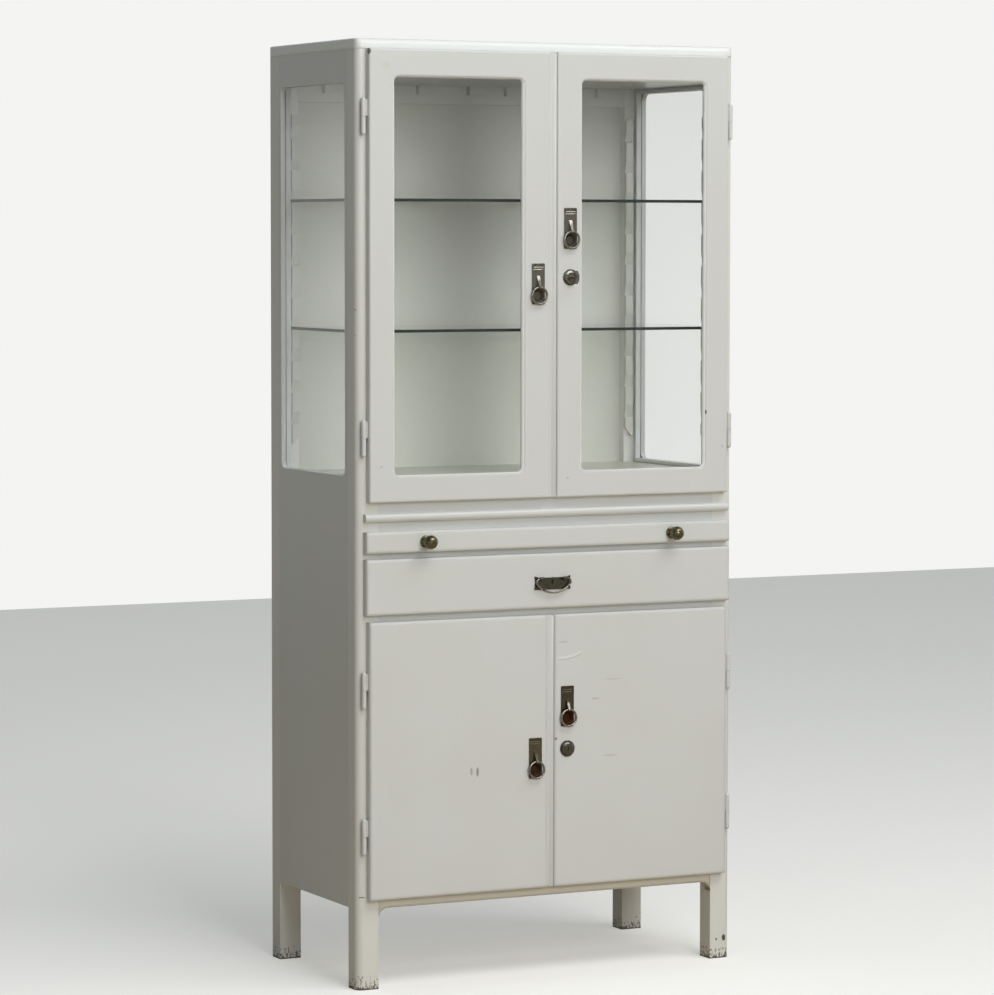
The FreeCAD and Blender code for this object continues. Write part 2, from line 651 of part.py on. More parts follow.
def upright(base, outline):
    """A bar with flats that stands on base, or hangs from it, from (rise, radius) pairs."""
    spins = [math.pi * (2 * number + 1) / KNUCKLE_FLATS_COUNT for number in range(KNUCKLE_FLATS_COUNT)]
    return skinned([[base + V(radius * math.cos(spin), radius * math.sin(spin), rise) for spin in spins]
                    for rise, radius in outline])


def knuckle(base, up):
    """Half of a hinge's knuckle that runs from base to a tapered tip."""
    straight = up * (KNUCKLE_HALF_LENGTH - KNUCKLE_TIP_HEIGHT)
    return upright(base, [(0, KNUCKLE_RADIUS), (straight, KNUCKLE_RADIUS),
                          (up * KNUCKLE_HALF_LENGTH, KNUCKLE_TIP_RADIUS)])


def hinge_post_leaf(height):
    """Leaf of the right post half, straight back into the post."""
    reach = HINGE_LEAF_THICKNESS / 2
    return board(HINGE_X - reach, HINGE_X + reach, HINGE_Y, FRONT_Y + HINGE_POST_LEAF_DEPTH,
                 height - KNUCKLE_HALF_LENGTH + KNUCKLE_TIP_HEIGHT, height)


def hinge_post_half(height):
    """Right post half of a hinge: lower knuckle, leaf and the pin that the door lifts off."""
    base = V(HINGE_X, HINGE_Y, height)
    body = knuckle(base, -1)
    pin = upright(base, [(-HINGE_PIN_RADIUS, HINGE_PIN_RADIUS), (HINGE_PIN_LENGTH, HINGE_PIN_RADIUS)])
    return body.fuse([hinge_post_leaf(height), pin]).removeSplitter()


def hinge_door_leaf(height):
    """Leaf of the right door half, into the edge of the door."""
    reach = HINGE_LEAF_THICKNESS / 2
    low = height + HINGE_SEAT_GAP
    return board(DOOR_EDGE_X - HINGE_DOOR_LEAF_DEPTH, HINGE_X, HINGE_Y - reach, HINGE_Y + reach,
                 low, low + KNUCKLE_HALF_LENGTH - KNUCKLE_TIP_HEIGHT)


def hinge_door_half(height):
    """Right door half of a hinge: upper knuckle, bored for the pin, and its leaf."""
    base = V(HINGE_X, HINGE_Y, height + HINGE_SEAT_GAP)
    bore = HINGE_PIN_RADIUS + HINGE_PIN_CLEARANCE
    body = knuckle(base, 1).fuse(hinge_door_leaf(height)).removeSplitter()
    return body.cut(rod(base, V(0, 0, 1), bore, HINGE_PIN_LENGTH + HINGE_PIN_END_GAP))


def hinge_post_halves():
    """All eight post halves."""
    right = [hinge_post_half(height) for height in UPPER_HINGE_HEIGHTS + LOWER_HINGE_HEIGHTS]
    return right + [mirrored(half) for half in right]


def hinge_door_halves(side, heights):
    """The two door halves of one door. Side is 1 on the right and -1 on the left."""
    halves = [hinge_door_half(height) for height in heights]
    return halves if side > 0 else [mirrored(half) for half in halves]


def cut_hinge_slots(leaf, side, heights):
    """Slots in the door's edge for the hinge leaves."""
    for height in heights:
        slot = hinge_door_leaf(height)
        leaf = leaf.cut(slot if side > 0 else mirrored(slot))
    return leaf


def door_board(side, seam, low, high, window=None):
    """A door leaf with rounded front edges. The left leaf has a ledge along its free edge."""
    free = seam + side * SEAM_GAP / 2
    x0, x1 = sorted((free, side * DOOR_EDGE_X))
    leaf = board(x0, x1, FACE_Y, LEAF_BACK_Y, low, high)
    if side < 0:
        leaf = leaf.cut(board(free - LEDGE_WIDTH, free, FACE_Y, FACE_Y + LEDGE_RECESS, low, high))
    leaf = leaf.makeFillet(FRONT_EDGE_RADIUS, edges_in_plane(leaf, 1, FACE_Y))
    return cut_window(leaf, *window) if window else leaf


def cut_window(leaf, left, right, sill, head):
    """A leaf with its window, round in the corners and bevelled along the front."""
    hole = board(left, right, FACE_Y - OVERRUN, LEAF_BACK_Y + OVERRUN, sill, head)
    leaf = leaf.cut(hole.makeFillet(DOOR_WINDOW_RADIUS, edges_along(hole, 1)))
    rim = []
    for edge in edges_in_plane(leaf, 1, FACE_Y):
        place = edge.BoundBox
        if place.XMin > left - TOUCH and place.XMax < right + TOUCH and place.ZMin > sill - TOUCH:
            rim.append(edge)
    return leaf.makeChamfer(DOOR_WINDOW_BEVEL, rim)


def door_window(side):
    """Left, right, lower and upper edge of an upper door's window."""
    free = UPPER_SEAM_OFFSET + side * SEAM_GAP / 2
    if side < 0:
        left = -DOOR_EDGE_X + LEFT_HINGE_STILE
        right = free - LEDGE_WIDTH - LEFT_MEETING_STILE
    else:
        left = free + RIGHT_MEETING_STILE
        right = DOOR_EDGE_X - RIGHT_HINGE_STILE
    return left, right, UPPER_DOOR_BOTTOM_Z + DOOR_BOTTOM_RAIL, UPPER_DOOR_TOP_Z - DOOR_TOP_RAIL


def glazed_door(side):
    """Frame of an upper door, with the rebate for its pane and the slots for its hinges."""
    left, right, sill, head = door_window(side)
    window = (left, right, sill, head)
    leaf = door_board(side, UPPER_SEAM_OFFSET, UPPER_DOOR_BOTTOM_Z, UPPER_DOOR_TOP_Z, window)
    rebate = board(left - DOOR_REBATE_WIDTH, right + DOOR_REBATE_WIDTH,
                   LEAF_BACK_Y - DOOR_REBATE_DEPTH, LEAF_BACK_Y + OVERRUN,
                   sill - DOOR_REBATE_WIDTH, head + DOOR_REBATE_WIDTH)
    return cut_hinge_slots(leaf.cut(rebate), side, UPPER_HINGE_HEIGHTS)


def plain_door(side):
    """Plain board of a lower door."""
    leaf = door_board(side, LOWER_SEAM_OFFSET, LOWER_DOOR_BOTTOM_Z, LOWER_DOOR_TOP_Z)
    return cut_hinge_slots(leaf, side, LOWER_HINGE_HEIGHTS)


def door_pane(side):
    """Pane of an upper door, seated in the rebate."""
    left, right, sill, head = door_window(side)
    front = LEAF_BACK_Y - DOOR_REBATE_DEPTH
    return board(left - DOOR_REBATE_WIDTH, right + DOOR_REBATE_WIDTH, front, front + PANE_THICKNESS,
                 sill - DOOR_REBATE_WIDTH, head + DOOR_REBATE_WIDTH)


def door_beads(side):
    """Mitred strips behind the pane of an upper door."""
    left, right, sill, head = door_window(side)
    low = (left - DOOR_REBATE_WIDTH, sill - DOOR_REBATE_WIDTH)
    high = (right + DOOR_REBATE_WIDTH, head + DOOR_REBATE_WIDTH)
    depth = DOOR_REBATE_DEPTH - PANE_THICKNESS
    start = LEAF_BACK_Y - depth
    return mitred_frame(low, high, DOOR_REBATE_WIDTH, lambda x, z: V(x, start, z), V(0, depth, 0))


def pull_x(side, seam):
    """Middle of the ring pull of a door."""
    if side < 0:
        return seam - SEAM_GAP / 2 - LEDGE_WIDTH - PULL_LEFT_INSET
    return seam + SEAM_GAP / 2 + PULL_RIGHT_INSET


def ring_middle_z(top):
    """Height of the middle of a hanging ring."""
    return top - RING_EYE_DROP - RING_MEAN_RADIUS


def cup_body(x, top):
    """Outside of the dished cup behind the ring, which is let into the door."""
    outside = CUP_RADIUS + CUP_WALL
    return faceted([(FACE_Y, outside), (FACE_Y + CUP_DEPTH, outside)], x, ring_middle_z(top), CUP_FLATS_COUNT)


def pull_tongue(x, top):
    """Tapered tongue of a ring pull, with the eye that holds the ring."""
    plate = FACE_Y - PULL_THICKNESS
    eye_y = plate - RING_STANDOFF
    eye_z = top - RING_EYE_DROP
    hole = RING_WIRE_RADIUS + RING_EYE_CLEARANCE
    outside = hole + RING_EYE_WALL
    reach = TONGUE_TOP_WIDTH / 2
    side_view = [V(x - reach, plate, top - TONGUE_TOP_DROP), V(x - reach, eye_y - outside, eye_z),
                 V(x - reach, eye_y, eye_z - outside), V(x - reach, plate, eye_z - outside)]
    wedge = prism(side_view, V(TONGUE_TOP_WIDTH, 0, 0))
    wedge = wedge.fuse(bent_bar([V(x - reach, eye_y, eye_z), V(x + reach, eye_y, eye_z)], outside))
    end = TONGUE_END_WIDTH / 2
    low = eye_z - outside
    start = eye_y - outside
    front_view = [V(x - reach, start, top - TONGUE_TOP_DROP), V(x + reach, start, top - TONGUE_TOP_DROP),
                  V(x + end, start, low), V(x - end, start, low)]
    wedge = wedge.common(prism(front_view, V(0, plate - start, 0)))
    return wedge.cut(rod(V(x - reach, eye_y, eye_z), V(1, 0, 0), hole, TONGUE_TOP_WIDTH))


def pull_plate(x, top):
    """Plate of a ring pull with its tongue and its dished cup."""
    front = FACE_Y - PULL_THICKNESS
    reach = PULL_WIDTH / 2
    plate = board(x - reach, x + reach, front, FACE_Y, top - PULL_HEIGHT, top)
    plate = plate.makeChamfer(PULL_CORNER_BEVEL, edges_along(plate, 1)).fuse(cup_body(x, top))
    dish = faceted([(front, CUP_RADIUS), (FACE_Y + CUP_DEPTH - CUP_WALL, CUP_FLOOR_RADIUS)],
                   x, ring_middle_z(top), CUP_FLATS_COUNT)
    return plate.cut(dish).fuse(pull_tongue(x, top)).removeSplitter()


def pull_ring(x, top):
    """Ring that hangs in the eye."""
    y = FACE_Y - PULL_THICKNESS - RING_STANDOFF
    corner = RING_MEAN_RADIUS / math.cos(math.pi / RING_CORNERS_COUNT)
    points = []
    for number in range(RING_CORNERS_COUNT):
        spin = math.pi / 2 + math.pi * (2 * number + 1) / RING_CORNERS_COUNT
        points.append(V(x + corner * math.cos(spin), y, ring_middle_z(top) + corner * math.sin(spin)))
    return bent_bar(points, RING_WIRE_RADIUS, True)


def lock_x(seam):
    """Middle of the lock of a right door."""
    return seam + SEAM_GAP / 2 + LOCK_INSET


def lock_hole(x, z):
    """Hole through the door for the lock's barrel."""
    ends = (FACE_Y - OVERRUN, LEAF_BACK_Y + OVERRUN)
    return faceted([(end, BARREL_RADIUS) for end in ends], x, z, ROSE_FLATS_COUNT)


def lock_rose(x, z):
    """Stepped rose with its barrel through the door, and the nut behind."""
    tail = LEAF_BACK_Y + BARREL_TAIL
    step = FACE_Y - ROSE_RIM_HEIGHT
    front = FACE_Y - ROSE_HEIGHT
    outline = [(FACE_Y, ROSE_RADIUS), (step, ROSE_RADIUS), (step, ROSE_STEP_RADIUS),
               (FACE_Y - ROSE_STEP_HEIGHT, ROSE_STEP_RADIUS), (front, BARREL_RADIUS)]
    rose = faceted(outline, x, z, ROSE_FLATS_COUNT)
    barrel = faceted([(FACE_Y, BARREL_RADIUS), (tail, BARREL_RADIUS)], x, z, ROSE_FLATS_COUNT)
    bore = rod(V(x, front - OVERRUN, z), V(0, 1, 0), PLUG_RADIUS + PLUG_CLEARANCE, tail - front + OVERRUN * 2)
    nut = faceted([(LEAF_BACK_Y, LOCK_NUT_RADIUS), (LEAF_BACK_Y + LOCK_NUT_HEIGHT, LOCK_NUT_RADIUS)],
                  x, z, NUT_FLATS_COUNT)
    return [rose.fuse(barrel).removeSplitter().cut(bore), nut.cut(barrel)]


def lock_plug(x, z):
    """Plug with its keyway, and the cam behind the door, which hangs down when unlocked."""
    front = FACE_Y - ROSE_HEIGHT
    cam_y = LEAF_BACK_Y + BARREL_TAIL + CAM_GAP
    plug = rod(V(x, front, z), V(0, 1, 0), PLUG_RADIUS, cam_y + CAM_THICKNESS - front)
    half = CAM_WIDTH / 2
    outline = [V(x - half, cam_y, z), V(x + half, cam_y, z), V(x + half, cam_y, z - CAM_LENGTH + half),
               V(x, cam_y, z - CAM_LENGTH), V(x - half, cam_y, z - CAM_LENGTH + half)]
    arm = prism(outline, V(0, CAM_THICKNESS, 0))
    blade = KEY_BLADE_THICKNESS / 2 + KEY_CLEARANCE
    tall = KEY_BLADE_HEIGHT / 2 + KEY_CLEARANCE
    keyway = board(x - blade, x + blade, front, front + KEYWAY_DEPTH, z - tall, z + tall)
    return plug.fuse(arm).removeSplitter().cut(keyway)


def key(x, z):
    """Key with a flat bow of bevelled outline, seated in the plug."""
    front = FACE_Y - ROSE_HEIGHT
    bow_end = FACE_Y - KEY_REACH
    bow_start = bow_end + KEY_BOW_LENGTH
    half = KEY_BOW_HEIGHT / 2
    blade = board(x - KEY_BLADE_THICKNESS / 2, x + KEY_BLADE_THICKNESS / 2, front - KEY_COLLAR_HEIGHT,
                  front + KEY_BLADE_LENGTH, z - KEY_BLADE_HEIGHT / 2, z + KEY_BLADE_HEIGHT / 2)
    collar = faceted([(front - KEY_COLLAR_HEIGHT, KEY_COLLAR_RADIUS), (front, KEY_COLLAR_RADIUS)],
                     x, z, WIRE_FLATS_COUNT)
    shank = faceted([(bow_start - KEY_BOW_BEVEL, KEY_SHANK_RADIUS), (front, KEY_SHANK_RADIUS)],
                    x, z, WIRE_FLATS_COUNT)
    places = [(bow_start, KEY_SHANK_RADIUS), (bow_start - KEY_BOW_BEVEL, half),
              (bow_end + KEY_BOW_BEVEL, half), (bow_end, half - KEY_BOW_BEVEL)]
    start = x - KEY_BOW_THICKNESS / 2
    outline = [V(start, y, z + reach) for y, reach in places]
    outline += [V(start, y, z - reach) for y, reach in reversed(places)]
    bow = prism(outline, V(KEY_BOW_THICKNESS, 0, 0))
    reach = KEY_BOW_THICKNESS / 2 + OVERRUN
    hole_y = bow_end + KEY_BOW_BEVEL
    hole = bent_bar([V(x - reach, hole_y, z), V(x + reach, hole_y, z)], KEY_BOW_HOLE_RADIUS)
    return blade.fuse([collar, shank, bow.cut(hole)]).removeSplitter()


def front_board(middle, height):
    """Overlaid front of the drawer or the slide, with rounded front edges."""
    edge = HALF - FRONT_SIDE_MARGIN
    leaf = board(-edge, edge, FACE_Y, LEAF_BACK_Y, middle - height / 2, middle + height / 2)
    return leaf.makeFillet(FRONT_EDGE_RADIUS, edges_in_plane(leaf, 1, FACE_Y))


def drawer_bottom():
    """Thin bottom, housed in grooves of the drawer's boards."""
    edge = POST_INNER_X - DRAWER_SIDE_GAP - DRAWER_BOARD + DRAWER_BOTTOM_HOUSING
    housing = DRAWER_BOARD - DRAWER_BOTTOM_HOUSING
    low = DRAWER_BOX_Z + DRAWER_BOTTOM_RISE
    front = LEAF_BACK_Y + housing
    return board(-edge, edge, front, DRAWER_REAR_Y - housing, low, low + DRAWER_BOTTOM_THICKNESS)


def drawer_box():
    """Two sides, inner front and back of the drawer, grooved for the bottom."""
    edge = POST_INNER_X - DRAWER_SIDE_GAP
    inside = edge - DRAWER_BOARD
    heights = (DRAWER_BOX_Z, DRAWER_BOX_TOP_Z)
    side = board(inside, edge, LEAF_BACK_Y, DRAWER_REAR_Y, *heights)
    front = board(-inside, inside, LEAF_BACK_Y, LEAF_BACK_Y + DRAWER_BOARD, *heights)
    back = board(-inside, inside, DRAWER_REAR_Y - DRAWER_BOARD, DRAWER_REAR_Y, *heights)
    return [piece.cut(drawer_bottom()) for piece in (side, mirrored(side), front, back)]


def bail_plate_outline(y, middle):
    """Outline of the drawer pull's plate: eared top corners and hollowed sides."""
    half = BAIL_PLATE_WIDTH / 2
    low = middle - BAIL_PLATE_HEIGHT / 2
    tall = BAIL_PLATE_HEIGHT
    shoulder = half * shoulder_share
    waist = half * waist_share
    top = low + tall * ear_share
    waist_z = low + tall * waist_height_share
    high = low + tall
    corners = [(shoulder, top), (half, high), (waist, waist_z), (half, low)]
    outline = [V(x, y, z) for x, z in corners] + [V(-x, y, z) for x, z in reversed(corners)]
    return Part.Face(Part.makePolygon(outline + outline[:1]))


def bail_pivot():
    """Height and depth of the bail's pivot."""
    y = FACE_Y - BAIL_PLATE_THICKNESS - BAIL_STANDOFF
    return y, BAIL_PLATE_Z + BAIL_PLATE_HEIGHT / 2 - BAIL_POST_DROP


def keyhole(depth):
    """Keyhole cutter from in front of the pull plate, depth deep."""
    y = FACE_Y - BAIL_PLATE_THICKNESS - OVERRUN
    z = BAIL_PLATE_Z + BAIL_PLATE_HEIGHT / 2 - KEYHOLE_DROP
    eye = faceted([(y, KEYHOLE_RADIUS), (y + depth, KEYHOLE_RADIUS)], 0, z, WIRE_FLATS_COUNT)
    slot = board(-KEYHOLE_SLOT_WIDTH / 2, KEYHOLE_SLOT_WIDTH / 2, y, y + depth, z - KEYHOLE_SLOT_LENGTH, z)
    return eye.fuse(slot)


def drawer_pull_plate():
    """Plate with two headed posts that carry the bail."""
    front = FACE_Y - BAIL_PLATE_THICKNESS
    plate = bail_plate_outline(front, BAIL_PLATE_Z).extrude(V(0, BAIL_PLATE_THICKNESS, 0))
    y, z = bail_pivot()
    for x in (-BAIL_POST_SPREAD, BAIL_POST_SPREAD):
        stem = faceted([(y, BAIL_POST_RADIUS), (front, BAIL_POST_RADIUS)], x, z, WIRE_FLATS_COUNT)
        head = bent_bar([V(x - BAIL_BALL_RADIUS, y, z), V(x + BAIL_BALL_RADIUS, y, z)], BAIL_BALL_RADIUS)
        plate = plate.fuse([stem, head])
    reach = BAIL_POST_SPREAD + BAIL_BALL_RADIUS
    hole = rod(V(-reach, y, z), V(1, 0, 0), BAIL_WIRE_RADIUS + BAIL_WIRE_CLEARANCE, reach * 2)
    return plate.removeSplitter().cut(hole).cut(keyhole(BAIL_PLATE_THICKNESS + OVERRUN * 2))


def arc_points(x, y, z, radius, start, end, steps):
    """Points along an arc in an upright plane, both ends included."""
    spins = [start + (end - start) * number / steps for number in range(steps + 1)]
    return [V(x + radius * math.cos(spin), y, z + radius * math.sin(spin)) for spin in spins]


def drawer_bail():
    """Bail of thick wire: two pins in the posts, tight corners and a wide sweep below."""
    y, z = bail_pivot()
    gap = BAIL_SWEEP_RADIUS - BAIL_CORNER_RADIUS
    sweep_z = z - BAIL_DROP + BAIL_SWEEP_RADIUS
    corner_z = z - BAIL_CORNER_RADIUS
    corner_x = math.sqrt(gap ** 2 - (sweep_z - corner_z) ** 2)
    slope = math.atan2(sweep_z - corner_z, corner_x)
    pin = BAIL_POST_SPREAD - BAIL_BALL_RADIUS - BAIL_PIN_END
    bend = arc_points(corner_x, y, corner_z, BAIL_CORNER_RADIUS, math.pi / 2, -slope, BAIL_CORNER_STEPS_COUNT)
    sweep = arc_points(0, y, sweep_z, BAIL_SWEEP_RADIUS, -slope, slope - math.pi, BAIL_SWEEP_STEPS_COUNT)
    right = [V(pin, y, z)] + bend
    left = [V(-point.x, y, point.z) for point in reversed(right)]
    return bent_bar(right + sweep[1:-1] + left, BAIL_WIRE_RADIUS)


def slide_board():
    """Board of the writing slide, between its runners."""
    edge = POST_INNER_X - SLIDE_SIDE_GAP
    return board(-edge, edge, LEAF_BACK_Y, SLIDE_REAR_Y, SLIDE_BOARD_Z, SLIDE_BOARD_Z + SLIDE_BOARD_THICKNESS)


def knob_places():
    """Middles of the two knobs."""
    return [KNOB_PAIR_OFFSET - KNOB_SPREAD, KNOB_PAIR_OFFSET + KNOB_SPREAD]


def slide_front():
    """Front of the writing slide, bored for the knobs' spigots."""
    leaf = front_board(SLIDE_MIDDLE_Z, SLIDE_FRONT_HEIGHT)
    outline = [(y, KNOB_SPIGOT_RADIUS) for y in (FACE_Y - OVERRUN, FACE_Y + KNOB_SPIGOT_LENGTH)]
    for x in knob_places():
        leaf = leaf.cut(faceted(outline, x, SLIDE_MIDDLE_Z, KNOB_FLATS_COUNT))
    return leaf


def knob(x):
    """Turned knob: flared foot, waist and a ball head with a rim."""
    rise = KNOB_REACH - KNOB_RIM_END
    ball = (rise ** 2 + KNOB_HEAD_RADIUS ** 2) / (2 * rise)
    whole = math.acos((ball - rise) / ball)
    waist = (KNOB_BASE_HEIGHT + KNOB_NECK_REACH) / 2
    waist_radius = (KNOB_BASE_RADIUS + KNOB_NECK_RADIUS * 3) / 4
    swell = (KNOB_HEAD_START + KNOB_RIM_START) / 2
    swell_radius = (KNOB_NECK_RADIUS + KNOB_HEAD_RADIUS * 3) / 4
    profile = [(-KNOB_SPIGOT_LENGTH, KNOB_SPIGOT_RADIUS), (0, KNOB_SPIGOT_RADIUS),
               (0, KNOB_BASE_RADIUS), (KNOB_BASE_HEIGHT, KNOB_BASE_RADIUS), (waist, waist_radius),
               (KNOB_NECK_REACH, KNOB_NECK_RADIUS), (KNOB_HEAD_START, KNOB_NECK_RADIUS),
               (swell, swell_radius), (KNOB_RIM_START, KNOB_HEAD_RADIUS)]
    for number in range(KNOB_CROWN_STEPS_COUNT):
        spin = whole * (1 - number / KNOB_CROWN_STEPS_COUNT)
        profile.append((KNOB_REACH - ball + ball * math.cos(spin), ball * math.sin(spin)))
    profile.append((KNOB_REACH, KNOB_TIP_RADIUS))
    outline = [(FACE_Y - reach, radius) for reach, radius in profile]
    return faceted(outline, x, SLIDE_MIDDLE_Z, KNOB_FLATS_COUNT)


def carcass():
    """All fixed pieces of the cabinet."""
    pieces = {}
    for name, maker in (("post_front", front_post), ("post_back", back_post), ("side_panel", side_panel)):
        pieces[name + "_right"] = maker()
        pieces[name + "_left"] = mirrored(pieces[name + "_right"])
    pieces["back_panel"] = back_panel()
    pieces["top_board"] = top_board()
    pieces["ceiling_board"] = inner_board(CEILING_Z, CEILING_THICKNESS)
    pieces["ceiling_batten"] = ceiling_batten()
    pieces["top_front_rail"] = front_rail(CEILING_Z, TOP_RAIL_HEIGHT)
    pieces["middle_rail"] = front_rail(MIDDLE_RAIL_Z, MIDDLE_RAIL_HEIGHT)
    pieces["half_round_moulding"] = moulding()
    pieces["upper_floor"] = inner_board(UPPER_FLOOR_Z - UPPER_FLOOR_THICKNESS, UPPER_FLOOR_THICKNESS)
    pieces["slide_rail"] = front_rail(SLIDE_RAIL_Z, SLIDE_RAIL_HEIGHT)
    pieces["drawer_rail"] = front_rail(DRAWER_RAIL_Z, DRAWER_RAIL_HEIGHT)
    dust_low = DRAWER_OPENING_Z - RUNNER_HEIGHT - DUST_BOARD_THICKNESS
    pieces["dust_board"] = inner_board(dust_low, DUST_BOARD_THICKNESS)
    pieces["bottom_rail"] = bottom_rail()
    pieces["bottom_board"] = inner_board(CUPBOARD_FLOOR_Z - BOTTOM_BOARD_THICKNESS, BOTTOM_BOARD_THICKNESS)
    pieces["cupboard_shelf"] = cupboard_shelf()
    bearers = side_bearers()
    pieces["side_bearers"] = bearers + [mirrored(bearer) for bearer in bearers]
    pieces["ratchet_strips"] = ratchet_strips()
    pieces["upper_glass_shelf"] = glass_shelf(UPPER_SHELF_NOTCH)
    pieces["lower_glass_shelf"] = glass_shelf(LOWER_SHELF_NOTCH)
    pieces["side_panes"] = [side_pane(), mirrored(side_pane())]
    beads = side_beads()
    pieces["side_window_beads"] = beads + [mirrored(bead) for bead in beads]
    pieces["hinge_post_halves"] = hinge_post_halves()
    return pieces


def fitted_door(name, leaf, side, seam, heights, top, pull_drop, lock_drop=None):
    """A door leaf with its hinge halves, ring pull and lock. Drops count from the door's top edge."""
    x = pull_x(side, seam)
    pull_top = top - pull_drop
    leaf = leaf.cut(cup_body(x, pull_top))
    pieces = {name + "_hinge_halves": hinge_door_halves(side, heights),
              name + "_pull_plate": pull_plate(x, pull_top),
              name + "_ring": pull_ring(x, pull_top)}
    if lock_drop:
        place = (lock_x(seam), top - lock_drop)
        leaf = leaf.cut(lock_hole(*place))
        pieces[name + "_lock_rose"] = lock_rose(*place)
        pieces[name + "_lock_plug"] = lock_plug(*place)
    pieces[name + "_leaf"] = leaf
    return pieces


def doors():
    """Two glazed upper doors and two plain lower doors with their fittings."""
    pieces = {}
    upper = (UPPER_SEAM_OFFSET, UPPER_HINGE_HEIGHTS, UPPER_DOOR_TOP_Z)
    lower = (LOWER_SEAM_OFFSET, LOWER_HINGE_HEIGHTS, LOWER_DOOR_TOP_Z)
    pieces.update(fitted_door("upper_left", glazed_door(-1), -1, *upper, UPPER_LEFT_PULL_DROP))
    right_drops = (UPPER_RIGHT_PULL_DROP, UPPER_LOCK_DROP)
    pieces.update(fitted_door("upper_right", glazed_door(1), 1, *upper, *right_drops))
    pieces.update(fitted_door("lower_left", plain_door(-1), -1, *lower, LOWER_LEFT_PULL_DROP))
    right_drops = (LOWER_RIGHT_PULL_DROP, LOWER_LOCK_DROP)
    pieces.update(fitted_door("lower_right", plain_door(1), 1, *lower, *right_drops))
    for name, side in (("upper_left", -1), ("upper_right", 1)):
        pieces[name + "_pane"] = door_pane(side)
        pieces[name + "_beads"] = door_beads(side)
    pieces["upper_key"] = key(lock_x(UPPER_SEAM_OFFSET), UPPER_DOOR_TOP_Z - UPPER_LOCK_DROP)
    return pieces


def drawer_and_slide():
    """Drawer with its bail pull, and the writing slide with its knobs."""
    front = front_board(DRAWER_MIDDLE_Z, DRAWER_FRONT_HEIGHT)
    return {"drawer_front": front.cut(keyhole(BAIL_PLATE_THICKNESS + OVERRUN + FRONT_THICKNESS / 2)),
            "drawer_box": drawer_box(),
            "drawer_bottom": drawer_bottom(),
            "drawer_pull_plate": drawer_pull_plate(),
            "drawer_bail": drawer_bail(),
            "slide_board": slide_board(),
            "slide_front": slide_front(),
            "slide_knobs": [knob(x) for x in knob_places()]}


def write_pieces(pieces):
    """One file for each node. A node of several like solids is a compound."""
    os.makedirs("parts", exist_ok=True)
    for name, shape in pieces.items():
        whole = Part.makeCompound(shape) if isinstance(shape, list) else shape
        whole.exportStep("parts/" + name + ".step")


write_pieces({**carcass(), **doors(), **drawer_and_slide()})
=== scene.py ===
import math

import bmesh
import bpy
from mathutils import Matrix, Vector


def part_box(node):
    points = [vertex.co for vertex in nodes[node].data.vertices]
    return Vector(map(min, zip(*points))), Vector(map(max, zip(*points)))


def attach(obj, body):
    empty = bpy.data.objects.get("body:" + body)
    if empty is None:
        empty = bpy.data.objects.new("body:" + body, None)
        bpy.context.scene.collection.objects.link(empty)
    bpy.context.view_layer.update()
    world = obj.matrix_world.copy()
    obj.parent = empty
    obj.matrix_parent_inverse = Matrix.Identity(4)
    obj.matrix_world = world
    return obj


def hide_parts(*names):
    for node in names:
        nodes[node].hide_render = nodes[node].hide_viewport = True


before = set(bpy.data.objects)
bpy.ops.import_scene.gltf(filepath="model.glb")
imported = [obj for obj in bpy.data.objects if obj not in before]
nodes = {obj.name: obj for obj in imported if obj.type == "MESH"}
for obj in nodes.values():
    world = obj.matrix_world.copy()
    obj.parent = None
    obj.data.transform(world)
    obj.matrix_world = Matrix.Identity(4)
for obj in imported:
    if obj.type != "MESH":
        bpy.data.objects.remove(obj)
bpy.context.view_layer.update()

MM = 0.001

# The way that a brush or the grain runs, as an axis
ACROSS, DEEP, UPRIGHT = 0, 1, 2

# Camera, solved from the photograph's straight edges: place in metres, turns in radians, lens in pixels
CAMERA_PLACE = Vector((-3.308535, -6.601997, 1.353831))
CAMERA_YAW = -0.462
CAMERA_PITCH = -0.066
CAMERA_ROLL = 0.001
CAMERA_PIXELS = 3981.16
CAMERA_REACH = (0.1, 60)
IMAGE_LONG_SIDE = 995
SENSOR_WIDTH = 36

# Light: a lamp is its name, place, width and height in metres, power in watts and tint
FLOOR_SIZE = 14.0
FLOOR_SEEN = "#E9E8E4"
FLOOR_BOUNCE = "#D6C6AC"
FLOOR_LIFT = 0.42
LAMP_AIM = Vector((0, 0, 0.9))
LAMPS = (("top_lamp", Vector((1.1, -3.0, 5.2)), 5.4, 2.2, 156.0, "#FFFFFF"),
         ("front_lamp", Vector((-0.2, -6.0, 2.8)), 2.6, 2.6, 122.0, "#FFFFFF"),
         ("side_strip", Vector((-4.2, -4.2, 1.7)), 0.7, 2.4, 14.0, "#DCE9F2"))
SEEN_TINT = "#F4F4F2"
AMBIENT_TINT = "#D0DEE5"
AMBIENT_STRENGTH = 0.19
# Reflections fade from a dim room to the pale backdrop as they turn to the pale side
DIM_ROOM = 0.30
PALE_SIDE = (0.8, 0.6, 0.0)
PALE_FROM, PALE_TO = -0.1, 0.8

